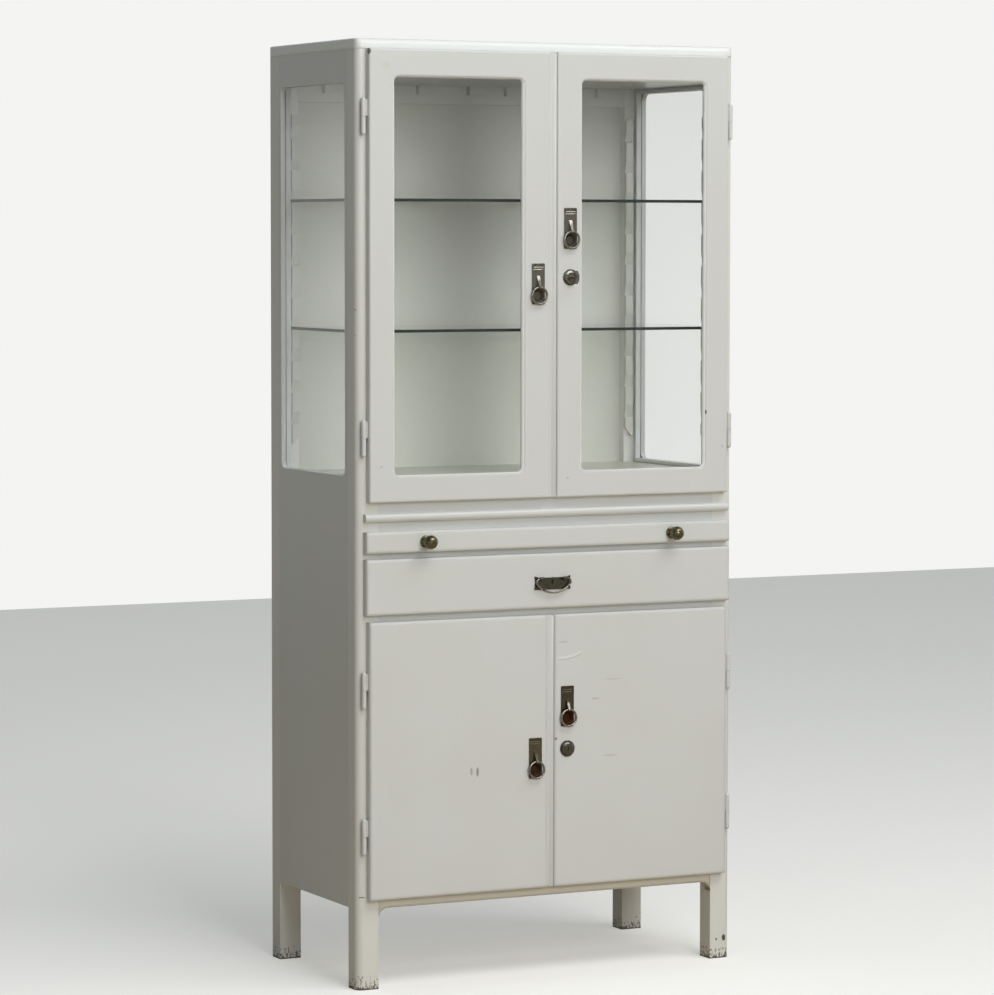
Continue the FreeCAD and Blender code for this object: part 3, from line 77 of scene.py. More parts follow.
# Oil paint: a little lighter on the posts, lighter on the top as a painted highlight, darker inside the
# cabinet as painted shade, warmer on the bottom rail as painted shade and a painted reflection of a wooden
# floor
PAINT = "#DADBD9"
PAINT_WARM = "#D8D8D4"
PAINT_POSTS = "#E2E1DB"
# The top's lighter paint is a painted highlight
PAINT_TOP_HIGHLIGHT = "#EFF0ED"
# The bottom rail's warmer, darker paint is painted shade and a painted reflection of a wooden floor
PAINT_BOTTOM_RAIL_SHADE_AND_REFLECTION = "#D6D1C3"
# Inside the cabinet the paint is darker as painted shade: back, ceiling, upper floor, cupboard boards, batten
PAINT_BACK_SHADED = "#D0CFC6"
PAINT_CEILING_SHADED = "#B8B6A9"
PAINT_UPPER_FLOOR_SHADED = "#B3B1A6"
PAINT_CUPBOARD_SHADED = "#CBCAC1"
PAINT_BATTEN_SHADED = "#D6D6CE"
# The window edges' lighter paint is a painted highlight
PAINT_EDGE_HIGHLIGHT = "#F4F4F0"
# The lifted rim's lighter paint is a painted highlight; the darker line's paint is a painted shadow
PAINT_LIFTED_HIGHLIGHT = "#F2F2EF"
PAINT_SHADOW = "#96958E"
OLD_WOOD_DARK, OLD_WOOD_LIGHT = "#3A2F25", "#857866"
PAINT_ROUGHNESS = 0.28
PAINT_IOR = 1.48
# Brush marks are drawn 1.6 mm apart, coarser than the bristles, so that they show.
BRISTLE_WIDTH, BRISTLE_LENGTH = 1.6 * MM, 70 * MM
STROKE_WIDTH, STROKE_LENGTH = 9 * MM, 240 * MM
CLOUD_SIZE = 210 * MM
RIPPLE_SIZE = 26 * MM
# Heights in the paint's bump, as shares of its 0.2 mm
PAINT_RELIEF = 0.2 * MM
BRISTLE_SHARE, LIFTED_SHARE, BARE_SHARE, MARK_SHARE = 0.04, 3.0, -1.2, -0.6
# How far the coats round an edge
SOFT_EDGE = 0.9 * MM
SOFT_HINGE = 2.2 * MM
SOFT_GLAZED_LEAF = 5 * MM
SOFT_BOARD = 9 * MM
# Worn edges and feet
CHIP_WIDTH = 9 * MM
CHIP_GRAIN = 7 * MM
CHIP_PATCH = 60 * MM
CHIPS_FROM, CHIPS_TO = 1.36, 1.40
POST_CHIPS = -0.04
FLECK_SIZE = (4 * MM, 4 * MM, 7 * MM)
FLECKS_PER_METRE = -5.5
BARE_FOOT = 1.5 * MM
# The crescent of lifted paint on the lower right door: its arc's centre and radius, and the middle and reach
# of the part of the arc that shows, in mm
ARC_ACROSS, ARC_UP, ARC_RADIUS = 19, 671.5, 92
ARC_SHOWS = (37, 586)
ARC_REACH = (27, 9, 13)
# Its rim's painted highlight and its painted shadow line: width, and how much of their colour shows
LIFTED_RIM, LIFTED_LINE = 3.5 * MM, 1.0 * MM
RIM_SHARE, LINE_SHARE = 0.55, 0.5

# Small damages in the paint, and the painted shade in the drawer front's keyhole, ragged at their edges:
# place across and up, reach across, deep and up in mm, colour, strength
RAGGED_GRAIN = 2.5 * MM
MARKS = {
    "upper_left_leaf": ((-366, 1677, (4.5, 9, 6), "#6F6F64", 1.0), (-332, 1652, (8, 6, 7), "#CECDBB", 0.4),
                        (-342, 941, (3, 6, 2), "#A7A69E", 0.4)),
    "upper_right_leaf": ((319, 1026, (2, 6, 3.5), "#5A564C", 1.0), (31, 912, (3, 6, 2), "#A7A69E", 0.4),
                         (354, 962, (2.5, 6, 2.5), "#A7A69E", 0.4)),
    "lower_left_leaf": ((-163.6, 385, (2.4, 6, 7), "#A5A49D", 0.8),
                        (-151.3, 383.4, (2.6, 6, 8), "#93928B", 0.9),
                        (3, 437, (1.6, 6, 3), "#75746A", 0.6)),
    "lower_right_leaf": ((23.3, 612.2, (10, 6, 1.8), "#A9A8A2", 0.4),
                         (127, 539.4, (16, 6, 1.6), "#B5B3AD", 0.4),
                         (88.7, 504.8, (8, 6, 2), "#ACA9A3", 0.45),
                         (119, 398.8, (15, 6, 1.6), "#C4B4AE", 0.5),
                         (8.5, 435, (2, 6, 2.6), "#5E5A50", 0.9)),
    # Painted shade: black behind the keyhole of the drawer's plate
    "drawer_front": ((0, 725.3, (2.6, 9, 3), "#090806", 1.0), (0, 721.5, (1.7, 9, 5.5), "#090806", 1.0)),
    "post_front_left": ((-383, 1220, (2.5, 9, 3), "#6F6B60", 1.0), (-383, 1174, (2, 9, 2.5), "#77736A", 1.0),
                        (-376, 168, (9, 4, 1), "#6E6A60", 1.0)),
    "post_front_right": ((371, 38, (4, 5, 6), "#4F4A41", 1.0), (355, 36, (2, 5, 2.5), "#6F6B60", 1.0)),
}

# Nickel plate: tarnish in blots, with specks in it
TARNISH_SIZE = 7 * MM
SPECK_SIZE = 1.6 * MM
NICKEL_RELIEF = 0.08 * MM
NICKEL_SOFT = 0.8 * MM
BAND_FADE = 0.8 * MM
BRIGHT_ROUGHNESS, DULL_ROUGHNESS = 0.24, 0.46
# Ring pulls: bright metal, tarnish, stain in the cup, plate above the ribs, tongue, and how much of the
# tongue's colour shows. The tongue's colour is a painted highlight on the lower plates, painted shade on the
# upper
PULLS = {"upper_left": ("#97948A", "#5A574F", "#5F5C53", "#7C7C6C", "#6A675E", 1.0),
         "upper_right": ("#97948A", "#55524A", "#5A5850", "#7C7C6C", "#8A877C", 1.0),
         "lower_left": ("#6E6757", "#4E4B41", "#4A382A", "#5A5545", "#D6D3C8", 0.2),
         "lower_right": ("#5F5A4D", "#3E3B33", "#4C2C20", "#55503F", "#D6D3C8", 0.7)}
CUP_BEHIND_RING = 7 * MM
CUP_RADIUS = 12.5 * MM
# In mm, as places and reaches of marks are
TONGUE_BEFORE_CUP, TONGUE_DROP = 10, 34
TONGUE_REACH = (3.2, 6.5, 11)
# Painted shade in the keyhole of the drawer's plate
KEYHOLE_Z = 722.8
KEYHOLE_REACH = (2.2, 9, 6)
KEYHOLE_PAINTED_SHADE = "#070706"

# Glass and bare wood
WINDOW_TINT, WINDOW_EDGE_TINT = "#FCFDFD", "#3F5A4C"
SHELF_TINT, SHELF_EDGE_TINT = "#F0F4F1", "#18221E"
GLASS_WAVES = (120 * MM, 120 * MM, 300 * MM)
WINDOW_RIPPLE = 0.3 * MM
RING_WIDTH, RING_LENGTH = 14 * MM, 900 * MM
FIBRE_WIDTH, FIBRE_LENGTH = 0.9 * MM, 40 * MM
RINGS_ACROSS_NOISE = 9.0
PINE_EARLY, PINE_LATE, PINE_FIBRE = "#B08B5E", "#7E5A36", "#94714A"
PINE_RELIEF = 0.2 * MM

# Fittings, the same lengths as the solids they stand for
RING_RADIUS = 15.0 * MM
RING_WIRE = 1.95 * MM
RING_SIDES, RING_STEPS = 20, 72
BAIL_WIRE = 1.75 * MM
BAIL_PIN_X = 19.3 * MM
BAIL_DROP = 25.3 * MM
BAIL_SWEEP = 43.6 * MM
BAIL_BEND = 6.0 * MM
BAIL_SIDES, BAIL_BEND_STEPS, BAIL_SWEEP_STEPS = 16, 14, 24
KNOB_REACH = 34.5 * MM
KNOB_BALL = 12.75 * MM
KNOB_STEPS = 48
# Reach from the front and radius, in mm, from the foot to where the ball's crown starts
KNOB_PROFILE = ((-0.3, 0.0), (-0.3, 10.6), (0.0, 11.0), (1.5, 11.0), (2.0, 10.5), (3.0, 8.8), (4.6, 7.3),
                (7.0, 6.1), (10.0, 5.7), (12.4, 5.8), (13.2, 6.4), (14.6, 8.2), (16.4, 10.2), (18.2, 11.6),
                (19.8, 12.2), (20.1, 12.6), (21.0, 12.75))
KNOB_CROWN_ANGLES = range(0, 91, 9)
PLATE_FACE = 1.5 * MM
RIB_DROPS = (6.8 * MM, 10.9 * MM)
RIB_HALF = (11.4 * MM, 0.55 * MM, 0.8 * MM)
RIB_SEGMENTS, RIB_RINGS = 24, 16
WELD = 0.001 * MM
MIRROR_WELD = 0.01 * MM

# Lips and window edges: outlines in mm, across from the leaf's edge and deep from its front, or in from the
# window's edge and forward from the pane
LIP_END = 1.0 * MM
LIP_SOFT, LIP_SOFT_STEPS = 0.3 * MM, 2
LIP_PROFILE = ((-7.0, 6.2), (1.2, 2.3), (1.8, 2.9), (1.8, 7.0), (-7.0, 7.0))
WINDOW_RADIUS = 11.0 * MM
REBATE_WIDTH = 8.0 * MM
WINDOW_EDGE_PROFILE = ((-1.0, 5.95), (0.3, 5.2), (1.4, 4.2), (2.3, 2.8), (2.8, 1.4), (3.0, 0.1), (-1.0, 0.1))
CORNER_STEPS = 8
HEAD_SHARE = 0.3


def linear(hex_code):
    """An sRGB hex colour as linear red, green, blue and alpha."""
    parts = [int(hex_code[i:i + 2], 16) / 255 for i in (1, 3, 5)]
    return tuple(c / 12.92 if c <= 0.04045 else ((c + 0.055) / 1.055) ** 2.4 for c in parts) + (1.0,)


def add(tree, kind, inputs=None, **settings):
    """Adds one node and gives its outputs: inputs are values or links, settings are the node's properties."""
    node = tree.nodes.new("ShaderNode" + kind)
    for name, value in settings.items():
        setattr(node, name, value)
    for name, value in (inputs or {}).items():
        if isinstance(value, bpy.types.NodeSocket):
            tree.links.new(value, node.inputs[name])
        else:
            node.inputs[name].default_value = value
    return node.outputs


def new_material(name):
    """An empty material and its node tree."""
    material = bpy.data.materials.new(name)
    material.use_nodes = True
    material.node_tree.nodes.clear()
    return material, material.node_tree


def dress(material, *names):
    """Gives CAD nodes a material."""
    for name in names:
        for slot in nodes[name].material_slots:
            slot.material = material


def stretched_noise(tree, place, size, detail=2.0, roughness=0.5):
    """Noise whose grains measure size, in metres along X, Y and Z."""
    stretched = add(tree, "Mapping", {"Vector": place, "Scale": tuple(1 / length for length in size)})[0]
    return add(tree, "TexNoise", {"Vector": stretched, "Scale": 1.0, "Detail": detail,
                                  "Roughness": roughness})[0]


def brushed_oil_paint(name, grain, tone=PAINT, chips=None, marks=(), blister=None, worn_foot=False,
                      soft=SOFT_EDGE):
    """Softwood brushed with several coats of oil paint: satin, a little uneven, faint marks along the grain.

    grain is the way that the brush ran, and soft is how far the coats round an edge. chips is (centre, half
    size, amount) of the box whose edges have lost paint down to old brown wood. marks are small damages, or
    the painted shade of a keyhole, see spot, and blister is a crescent of lifted paint, see blister_edge.
    """
    material, tree = new_material(name)
    place = add(tree, "TexCoord")["Object"]
    fine, wide = [BRISTLE_WIDTH] * 3, [STROKE_WIDTH] * 3
    fine[grain], wide[grain] = BRISTLE_LENGTH, STROKE_LENGTH
    brush = stretched_noise(tree, place, fine, detail=3.0, roughness=0.6)
    streak = stretched_noise(tree, place, wide)
    cloud = stretched_noise(tree, place, [CLOUD_SIZE] * 3, detail=3.0)
    ripple = stretched_noise(tree, place, [RIPPLE_SIZE] * 3)
    warmth = add(tree, "MapRange", {"Value": cloud, "From Min": 0.3, "From Max": 0.8},
                 interpolation_type="SMOOTHSTEP")[0]
    warm = linear(PAINT_WARM if tone == PAINT else tone)
    colour = add(tree, "Mix", {0: warmth, 6: linear(tone), 7: warm}, data_type="RGBA")[2]
    shade = add(tree, "MapRange", {"Value": streak, "From Min": 0.2, "From Max": 0.8, "To Min": 0.997,
                                   "To Max": 1.003}, interpolation_type="SMOOTHSTEP")[0]
    colour = add(tree, "VectorMath", {0: colour, "Scale": shade}, operation="SCALE")[0]
    rough = PAINT_ROUGHNESS
    height = add(tree, "Math", {0: brush, 1: BRISTLE_SHARE, 2: ripple}, operation="MULTIPLY_ADD")[0]
    if blister:
        # Painted highlight on the lifted rim and painted shadow along its arc
        light, line = blister_edge(tree, place, *blister)
        highlight_share = add(tree, "Math", {0: light, 1: RIM_SHARE}, operation="MULTIPLY")[0]
        colour = add(tree, "Mix", {0: highlight_share, 6: colour, 7: linear(PAINT_LIFTED_HIGHLIGHT)}, data_type="RGBA")[2]
        line_share = add(tree, "Math", {0: line, 1: LINE_SHARE}, operation="MULTIPLY")[0]
        colour = add(tree, "Mix", {0: line_share, 6: colour, 7: linear(PAINT_SHADOW)}, data_type="RGBA")[2]
        height = add(tree, "Math", {0: light, 1: LIFTED_SHARE, 2: height}, operation="MULTIPLY_ADD")[0]
    if chips:
        bare = chipped_edges(tree, place, *chips)
        colour, rough, height = bare_patch(tree, place, bare, fine, colour, rough, height)
    if worn_foot:
        bare = flaked_foot(tree, place)
        colour, rough, height = bare_patch(tree, place, bare, fine, colour, rough, height)
    for mark in marks:
        there, stain = spot(tree, place, *mark)
        colour = add(tree, "Mix", {0: there, 6: colour, 7: stain}, data_type="RGBA")[2]
        height = add(tree, "Math", {0: there, 1: MARK_SHARE, 2: height}, operation="MULTIPLY_ADD")[0]
    rounded = add(tree, "Bevel", {"Radius": soft}, samples=4)[0]
    bump = add(tree, "Bump", {"Strength": 0.16, "Distance": PAINT_RELIEF, "Height": height,
                              "Normal": rounded})[0]
    shader = add(tree, "BsdfPrincipled", {"Base Color": colour, "Roughness": rough, "IOR": PAINT_IOR,
                                          "Normal": bump})
    add(tree, "OutputMaterial", {"Surface": shader[0]})
    return material


def bare_patch(tree, place, bare, fine, colour, rough, height):
    """Old wood where the paint is gone: grey-brown, dull, and lower by the thickness of the paint."""
    grain = stretched_noise(tree, place, fine, detail=4.0)
    wood = add(tree, "Mix", {0: grain, 6: linear(OLD_WOOD_DARK), 7: linear(OLD_WOOD_LIGHT)},
               data_type="RGBA")[2]
    return (add(tree, "Mix", {0: bare, 6: colour, 7: wood}, data_type="RGBA")[2],
            add(tree, "Math", {0: bare, 1: 0.4, 2: rough}, operation="MULTIPLY_ADD")[0],
            add(tree, "Math", {0: bare, 1: BARE_SHARE, 2: height}, operation="MULTIPLY_ADD")[0])


def chipped_edges(tree, place, centre, half, amount):
    """1 where paint is chipped: close to the edges of a box, broken up by noise. amount shifts how much."""
    shifted = add(tree, "VectorMath", {0: place, 1: tuple(centre)}, operation="SUBTRACT")[0]
    folded = add(tree, "VectorMath", {0: shifted}, operation="ABSOLUTE")[0]
    depth = add(tree, "VectorMath", {0: tuple(half), 1: folded}, operation="SUBTRACT")[0]
    x, y, z = add(tree, "SeparateXYZ", {0: depth})
    xy, yz, xz = (add(tree, "Math", {0: first, 1: second}, operation="MAXIMUM")[0]
                  for first, second in ((x, y), (y, z), (x, z)))
    sides = add(tree, "Math", {0: yz, 1: xz}, operation="MINIMUM")[0]
    nearest = add(tree, "Math", {0: xy, 1: sides}, operation="MINIMUM")[0]
    closeness = add(tree, "MapRange", {"Value": nearest, "From Max": CHIP_WIDTH, "To Min": 1.0,
                                       "To Max": 0.0})[0]
    broken = stretched_noise(tree, place, [CHIP_GRAIN] * 3, detail=5.0, roughness=0.65)
    patch = stretched_noise(tree, place, [CHIP_PATCH] * 3, detail=1.0)
    edges = add(tree, "Math", {0: closeness, 1: 0.42, 2: broken}, operation="MULTIPLY_ADD")[0]
    total = add(tree, "Math", {0: patch, 1: 0.6, 2: edges}, operation="MULTIPLY_ADD")[0]
    return add(tree, "MapRange", {"Value": total, "From Min": CHIPS_FROM - amount,
                                  "From Max": CHIPS_TO - amount}, interpolation_type="SMOOTHSTEP")[0]


def flaked_foot(tree, place):
    """1 where the feet have lost flecks of paint to mops, thick at the floor and nearly gone 40 mm up."""
    height = add(tree, "SeparateXYZ", {0: place})[2]
    broken = stretched_noise(tree, place, FLECK_SIZE, detail=5.0, roughness=0.7)
    left = add(tree, "Math", {0: height, 1: FLECKS_PER_METRE, 2: broken}, operation="MULTIPLY_ADD")[0]
    flecks = add(tree, "MapRange", {"Value": left, "From Min": 0.46, "From Max": 0.50},
                 interpolation_type="SMOOTHSTEP")[0]
    bottom = add(tree, "MapRange", {"Value": height, "From Min": 2 * BARE_FOOT, "From Max": BARE_FOOT},
                 interpolation_type="SMOOTHSTEP")[0]
    return add(tree, "Math", {0: flecks, 1: bottom}, operation="MAXIMUM")[0]


def spot(tree, place, centre, reach, shade, strength):
    """A small ragged mark: how much of it is at a place, and its colour. centre and reach are in mm."""
    scale = [1 / (length * MM) for length in reach]
    offset = [-middle * MM * factor for middle, factor in zip(centre, scale)]
    near = add(tree, "Mapping", {"Vector": place, "Location": offset, "Scale": scale})[0]
    away = add(tree, "VectorMath", {0: near}, operation="LENGTH")["Value"]
    ragged = stretched_noise(tree, place, [RAGGED_GRAIN] * 3, detail=3.0)
    edge = add(tree, "Math", {0: ragged, 1: 0.9, 2: away}, operation="MULTIPLY_ADD")[0]
    there = add(tree, "MapRange", {"Value": edge, "From Min": 1.6, "From Max": 1.25, "To Max": strength},
                interpolation_type="SMOOTHSTEP")[0]
    return there, linear(shade)


def blister_edge(tree, place, centre, radius, middle, reach):
    """A raised crescent where paint has lifted: the painted highlight of its rim inside an arc, and the thin
    painted shadow along the arc.
    """
    shifted = add(tree, "VectorMath", {0: place, 1: tuple(centre)}, operation="SUBTRACT")[0]
    away = add(tree, "VectorMath", {0: shifted}, operation="LENGTH")["Value"]
    there = spot(tree, place, middle, reach, PAINT_SHADOW, 1.0)[0]
    parts = []
    for arc, wide, narrow in ((radius - LIFTED_RIM, LIFTED_RIM, 0.5 * MM), (radius, LIFTED_LINE, 0.3 * MM)):
        offset = add(tree, "Math", {0: away, 1: arc}, operation="SUBTRACT")[0]
        distance = add(tree, "Math", {0: offset}, operation="ABSOLUTE")[0]
        whole = add(tree, "MapRange", {"Value": distance, "From Min": wide, "From Max": narrow},
                    interpolation_type="SMOOTHSTEP")[0]
        parts.append(add(tree, "Math", {0: whole, 1: there}, operation="MULTIPLY")[0])
    return parts


def nickel_plated_brass(name, light, dark, patina=0.5, hollow=None, band=None, mark=None):
    """Thin nickel plate on stamped brass, handled for decades: dull warm grey with brown-black tarnish.

    hollow is (centre, reach, colour) of a dished cup, band is (height, colour) of the plate's top above a
    rib, and mark is a painted highlight or painted shade, see spot.
    """
    material, tree = new_material(name)
    place = add(tree, "TexCoord")["Object"]
    tarnish = stretched_noise(tree, place, [TARNISH_SIZE] * 3, detail=5.0, roughness=0.62)
    speck = stretched_noise(tree, place, [SPECK_SIZE] * 3, detail=3.0)
    worn = add(tree, "Math", {0: speck, 1: 0.35, 2: tarnish}, operation="MULTIPLY_ADD")[0]
    dull = add(tree, "MapRange", {"Value": worn, "From Min": 0.95 - patina * 0.5,
                                  "From Max": 1.1 - patina * 0.4}, interpolation_type="SMOOTHSTEP")[0]
    colour = add(tree, "Mix", {0: dull, 6: linear(light), 7: linear(dark)}, data_type="RGBA")[2]
    rough = add(tree, "MapRange", {"Value": dull, "To Min": BRIGHT_ROUGHNESS, "To Max": DULL_ROUGHNESS},
                interpolation_type="SMOOTHSTEP")[0]
    if band:
        height = add(tree, "SeparateXYZ", {0: place})[2]
        above = add(tree, "MapRange", {"Value": height, "From Min": band[0], "From Max": band[0] + BAND_FADE,
                                       "To Max": 0.8}, interpolation_type="SMOOTHSTEP")[0]
        colour = add(tree, "Mix", {0: above, 6: colour, 7: linear(band[1])}, data_type="RGBA")[2]
    if hollow:
        centre, reach, stain = hollow
        away = add(tree, "VectorMath", {0: place, 1: tuple(centre)}, operation="DISTANCE")["Value"]
        share = add(tree, "Math", {0: away, 1: reach}, operation="DIVIDE")[0]
        patch = add(tree, "Math", {0: speck, 1: 0.25, 2: share}, operation="MULTIPLY_ADD")[0]
        brown = add(tree, "MapRange", {"Value": patch, "From Min": 1.22, "From Max": 1.0},
                    interpolation_type="SMOOTHSTEP")[0]
        colour = add(tree, "Mix", {0: brown, 6: colour, 7: linear(stain)}, data_type="RGBA")[2]
        matt = add(tree, "Math", {0: brown, 1: 0.5}, operation="MULTIPLY")[0]
        rough = add(tree, "Math", {0: rough, 1: matt}, operation="MAXIMUM")[0]
    if mark:
        # A mark is a painted highlight or painted shade
        there, shade = spot(tree, place, *mark)
        colour = add(tree, "Mix", {0: there, 6: colour, 7: shade}, data_type="RGBA")[2]
        matt = add(tree, "Math", {0: there, 1: 0.55}, operation="MULTIPLY")[0]
        rough = add(tree, "Math", {0: rough, 1: matt}, operation="MAXIMUM")[0]
    rounded = add(tree, "Bevel", {"Radius": NICKEL_SOFT}, samples=4)[0]
    bump = add(tree, "Bump", {"Strength": 0.35, "Distance": NICKEL_RELIEF, "Height": tarnish,
                              "Normal": rounded})[0]
    shader = add(tree, "BsdfPrincipled", {"Base Color": colour, "Metallic": 1.0, "Roughness": rough,
                                          "Normal": bump})
    add(tree, "OutputMaterial", {"Surface": shader[0]})
    return material


def clear_sheet(name, tint, edge_tint, thin_axis, ripple):
    """Clear glass sheet that lets lamps through, with the deep green of its cut edges."""
    material, tree = new_material(name)
    place = add(tree, "TexCoord")["Object"]
    waves = stretched_noise(tree, place, GLASS_WAVES, detail=1.0)
    bump = add(tree, "Bump", {"Strength": 0.2, "Distance": ripple, "Height": waves})[0]
    glass = add(tree, "BsdfPrincipled", {"Base Color": linear(tint), "Roughness": 0.0, "IOR": 1.5,
                                         "Transmission Weight": 1.0, "Normal": bump})
    clear = add(tree, "BsdfTransparent", {"Color": linear(tint)})
    lamps = add(tree, "LightPath")["Is Shadow Ray"]
    body = add(tree, "MixShader", {0: lamps, 1: glass[0], 2: clear[0]})
    normal = add(tree, "SeparateXYZ", {0: add(tree, "NewGeometry")["True Normal"]})[thin_axis]
    facing = add(tree, "Math", {0: normal}, operation="ABSOLUTE")[0]
    side = add(tree, "Math", {0: facing, 1: 0.5}, operation="LESS_THAN")[0]
    edge = add(tree, "BsdfPrincipled", {"Base Color": linear(edge_tint), "Roughness": 0.12, "IOR": 1.5})
    sheet = add(tree, "MixShader", {0: side, 1: body[0], 2: edge[0]})
    add(tree, "OutputMaterial", {"Surface": sheet[0]})
    return material


def bare_pine(name, grain):
    """Old planed pine without a finish: yellow-brown early wood, darker late wood lines along the board."""
    material, tree = new_material(name)
    place = add(tree, "TexCoord")["Object"]
    size, fibre_size = [RING_WIDTH] * 3, [FIBRE_WIDTH] * 3
    size[grain], fibre_size[grain] = RING_LENGTH, FIBRE_LENGTH
    swirl = add(tree, "Math", {0: stretched_noise(tree, place, size), 1: RINGS_ACROSS_NOISE},
                operation="MULTIPLY")[0]
    rings = add(tree, "Math", {0: swirl}, operation="FRACT")[0]
    fibre = stretched_noise(tree, place, fibre_size, detail=3.0)
    late = add(tree, "MapRange", {"Value": rings, "From Min": 0.55, "From Max": 0.95},
               interpolation_type="SMOOTHSTEP")[0]
    colour = add(tree, "Mix", {0: late, 6: linear(PINE_EARLY), 7: linear(PINE_LATE)}, data_type="RGBA")[2]
    thread = add(tree, "Math", {0: fibre, 1: 0.5}, operation="MULTIPLY")[0]
    colour = add(tree, "Mix", {0: thread, 6: colour, 7: linear(PINE_FIBRE)}, data_type="RGBA")[2]
    bump = add(tree, "Bump", {"Strength": 0.4, "Distance": PINE_RELIEF, "Height": fibre})[0]
    shader = add(tree, "BsdfPrincipled", {"Base Color": colour, "Roughness": 0.68, "Normal": bump})
    add(tree, "OutputMaterial", {"Surface": shader[0]})
    return material


def box_of(name):
    """Middle and half size of a node's box."""
    low, high = (Vector(corner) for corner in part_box(name))
    return (low + high) / 2, (high - low) / 2


def front_of(name):
    """Where a node's front face is, along Y in metres."""
    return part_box(name)[0][1]


def marks_on(name):
    """The small damages of a piece, on its front face."""
    face = front_of(name) / MM
    return [((x, face, z), reach, shade, strength) for x, z, reach, shade, strength in MARKS.get(name, ())]


def paint_wood():
    """Paint on every wooden piece, brushed along its grain, with the damages that the photograph shows."""
    dress(brushed_oil_paint("oil_paint_upright", UPRIGHT), "side_panel_left", "side_panel_right",
          "side_window_beads", "upper_left_beads", "upper_right_beads")
    # The pieces inside get darker paint as painted shade
    dress(brushed_oil_paint("oil_paint_shaded_inside", UPRIGHT, PAINT_BACK_SHADED), "back_panel", "ratchet_strips")
    dress(brushed_oil_paint("oil_paint_shaded_ceiling", DEEP, PAINT_CEILING_SHADED), "ceiling_board")
    dress(brushed_oil_paint("oil_paint_shaded_inside_floor", DEEP, PAINT_UPPER_FLOOR_SHADED), "upper_floor")
    dress(brushed_oil_paint("oil_paint_shaded_cupboard_boards", DEEP, PAINT_CUPBOARD_SHADED), "bottom_board",
          "cupboard_shelf")
    dress(brushed_oil_paint("oil_paint_shaded_batten", ACROSS, PAINT_BATTEN_SHADED), "ceiling_batten")
    dress(brushed_oil_paint("oil_paint_level", ACROSS), "middle_rail", "half_round_moulding", "slide_rail",
          "drawer_rail", "top_front_rail")
    for name in ("post_front_left", "post_front_right", "post_back_left", "post_back_right"):
        dress(brushed_oil_paint("oil_paint_" + name, UPRIGHT, PAINT_POSTS, chips=(*box_of(name), POST_CHIPS),
                                marks=marks_on(name), worn_foot=True), name)
    face = front_of("lower_right_leaf") / MM
    blister = (Vector((ARC_ACROSS, face, ARC_UP)) * MM, ARC_RADIUS * MM,
               (ARC_SHOWS[0], face, ARC_SHOWS[1]), ARC_REACH)
    for name, soft, lifted in (("upper_left_leaf", SOFT_GLAZED_LEAF, None),
                               ("upper_right_leaf", SOFT_GLAZED_LEAF, None),
                               ("lower_left_leaf", SOFT_BOARD, None),
                               ("lower_right_leaf", SOFT_BOARD, blister)):
        dress(brushed_oil_paint("oil_paint_" + name, UPRIGHT, marks=marks_on(name), blister=lifted,
                                soft=soft), name)
    # The top's lighter tone is a painted highlight; the bottom rail's warmer tone is painted shade and a
    # painted reflection of a wooden floor
    for name, tone in (("top_board", PAINT_TOP_HIGHLIGHT), ("bottom_rail", PAINT_BOTTOM_RAIL_SHADE_AND_REFLECTION), ("drawer_front", PAINT),
                       ("slide_front", PAINT)):
        dress(brushed_oil_paint("oil_paint_" + name, ACROSS, tone, marks=marks_on(name),
                                soft=SOFT_BOARD), name)
    dress(brushed_oil_paint("oil_paint_over_hinges", UPRIGHT, soft=SOFT_HINGE), "hinge_post_halves",
          "upper_left_hinge_halves", "upper_right_hinge_halves", "lower_left_hinge_halves",
          "lower_right_hinge_halves")


def finish_fittings():
    """Metal, glass and bare wood on the CAD nodes."""
    dress(nickel_plated_brass("worn_nickel_upper_lock", "#85827A", "#2C2B26"), "upper_key",
          "upper_right_lock_plug", "upper_right_lock_rose")
    dress(nickel_plated_brass("tarnished_nickel_lower_lock", "#65635A", "#24231E"), "lower_right_lock_plug",
          "lower_right_lock_rose")
    # The keyhole mark is painted shade
    keyhole = ((0, box_of("drawer_pull_plate")[0].y / MM, KEYHOLE_Z), KEYHOLE_REACH, KEYHOLE_PAINTED_SHADE, 1.0)
    dress(nickel_plated_brass("tarnished_nickel_drawer_plate", "#6B685E", "#393730", mark=keyhole),
          "drawer_pull_plate")
    for name, (light, dark, stain, above_ribs, tongue, tongue_painted_light_share) in PULLS.items():
        cup = box_of(name + "_ring")[0] + Vector((0, CUP_BEHIND_RING, 0))
        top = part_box(name + "_pull_plate")[1][2]
        # The tongue's mark is a painted highlight on the lower plates and painted shade on the upper ones
        bend = (cup.x / MM, cup.y / MM - TONGUE_BEFORE_CUP, top / MM - TONGUE_DROP)
        metal = nickel_plated_brass("tarnished_nickel_" + name + "_plate", light, dark,
                                    hollow=(cup, CUP_RADIUS, stain), band=(top - RIB_DROPS[0], above_ribs),
                                    mark=(bend, TONGUE_REACH, tongue, tongue_painted_light_share))
        dress(metal, name + "_pull_plate")
    dress(clear_sheet("drawn_window_glass", WINDOW_TINT, WINDOW_EDGE_TINT, DEEP, WINDOW_RIPPLE),
          "upper_left_pane", "upper_right_pane")
    dress(clear_sheet("drawn_side_glass", WINDOW_TINT, WINDOW_EDGE_TINT, ACROSS, WINDOW_RIPPLE), "side_panes")
    dress(clear_sheet("polished_shelf_glass", SHELF_TINT, SHELF_EDGE_TINT, UPRIGHT, 0.0), "upper_glass_shelf",
          "lower_glass_shelf")
    dress(bare_pine("bare_pine_across", ACROSS), "drawer_bottom", "slide_board", "dust_board")
    dress(bare_pine("bare_pine_deep", DEEP), "drawer_box", "side_bearers")


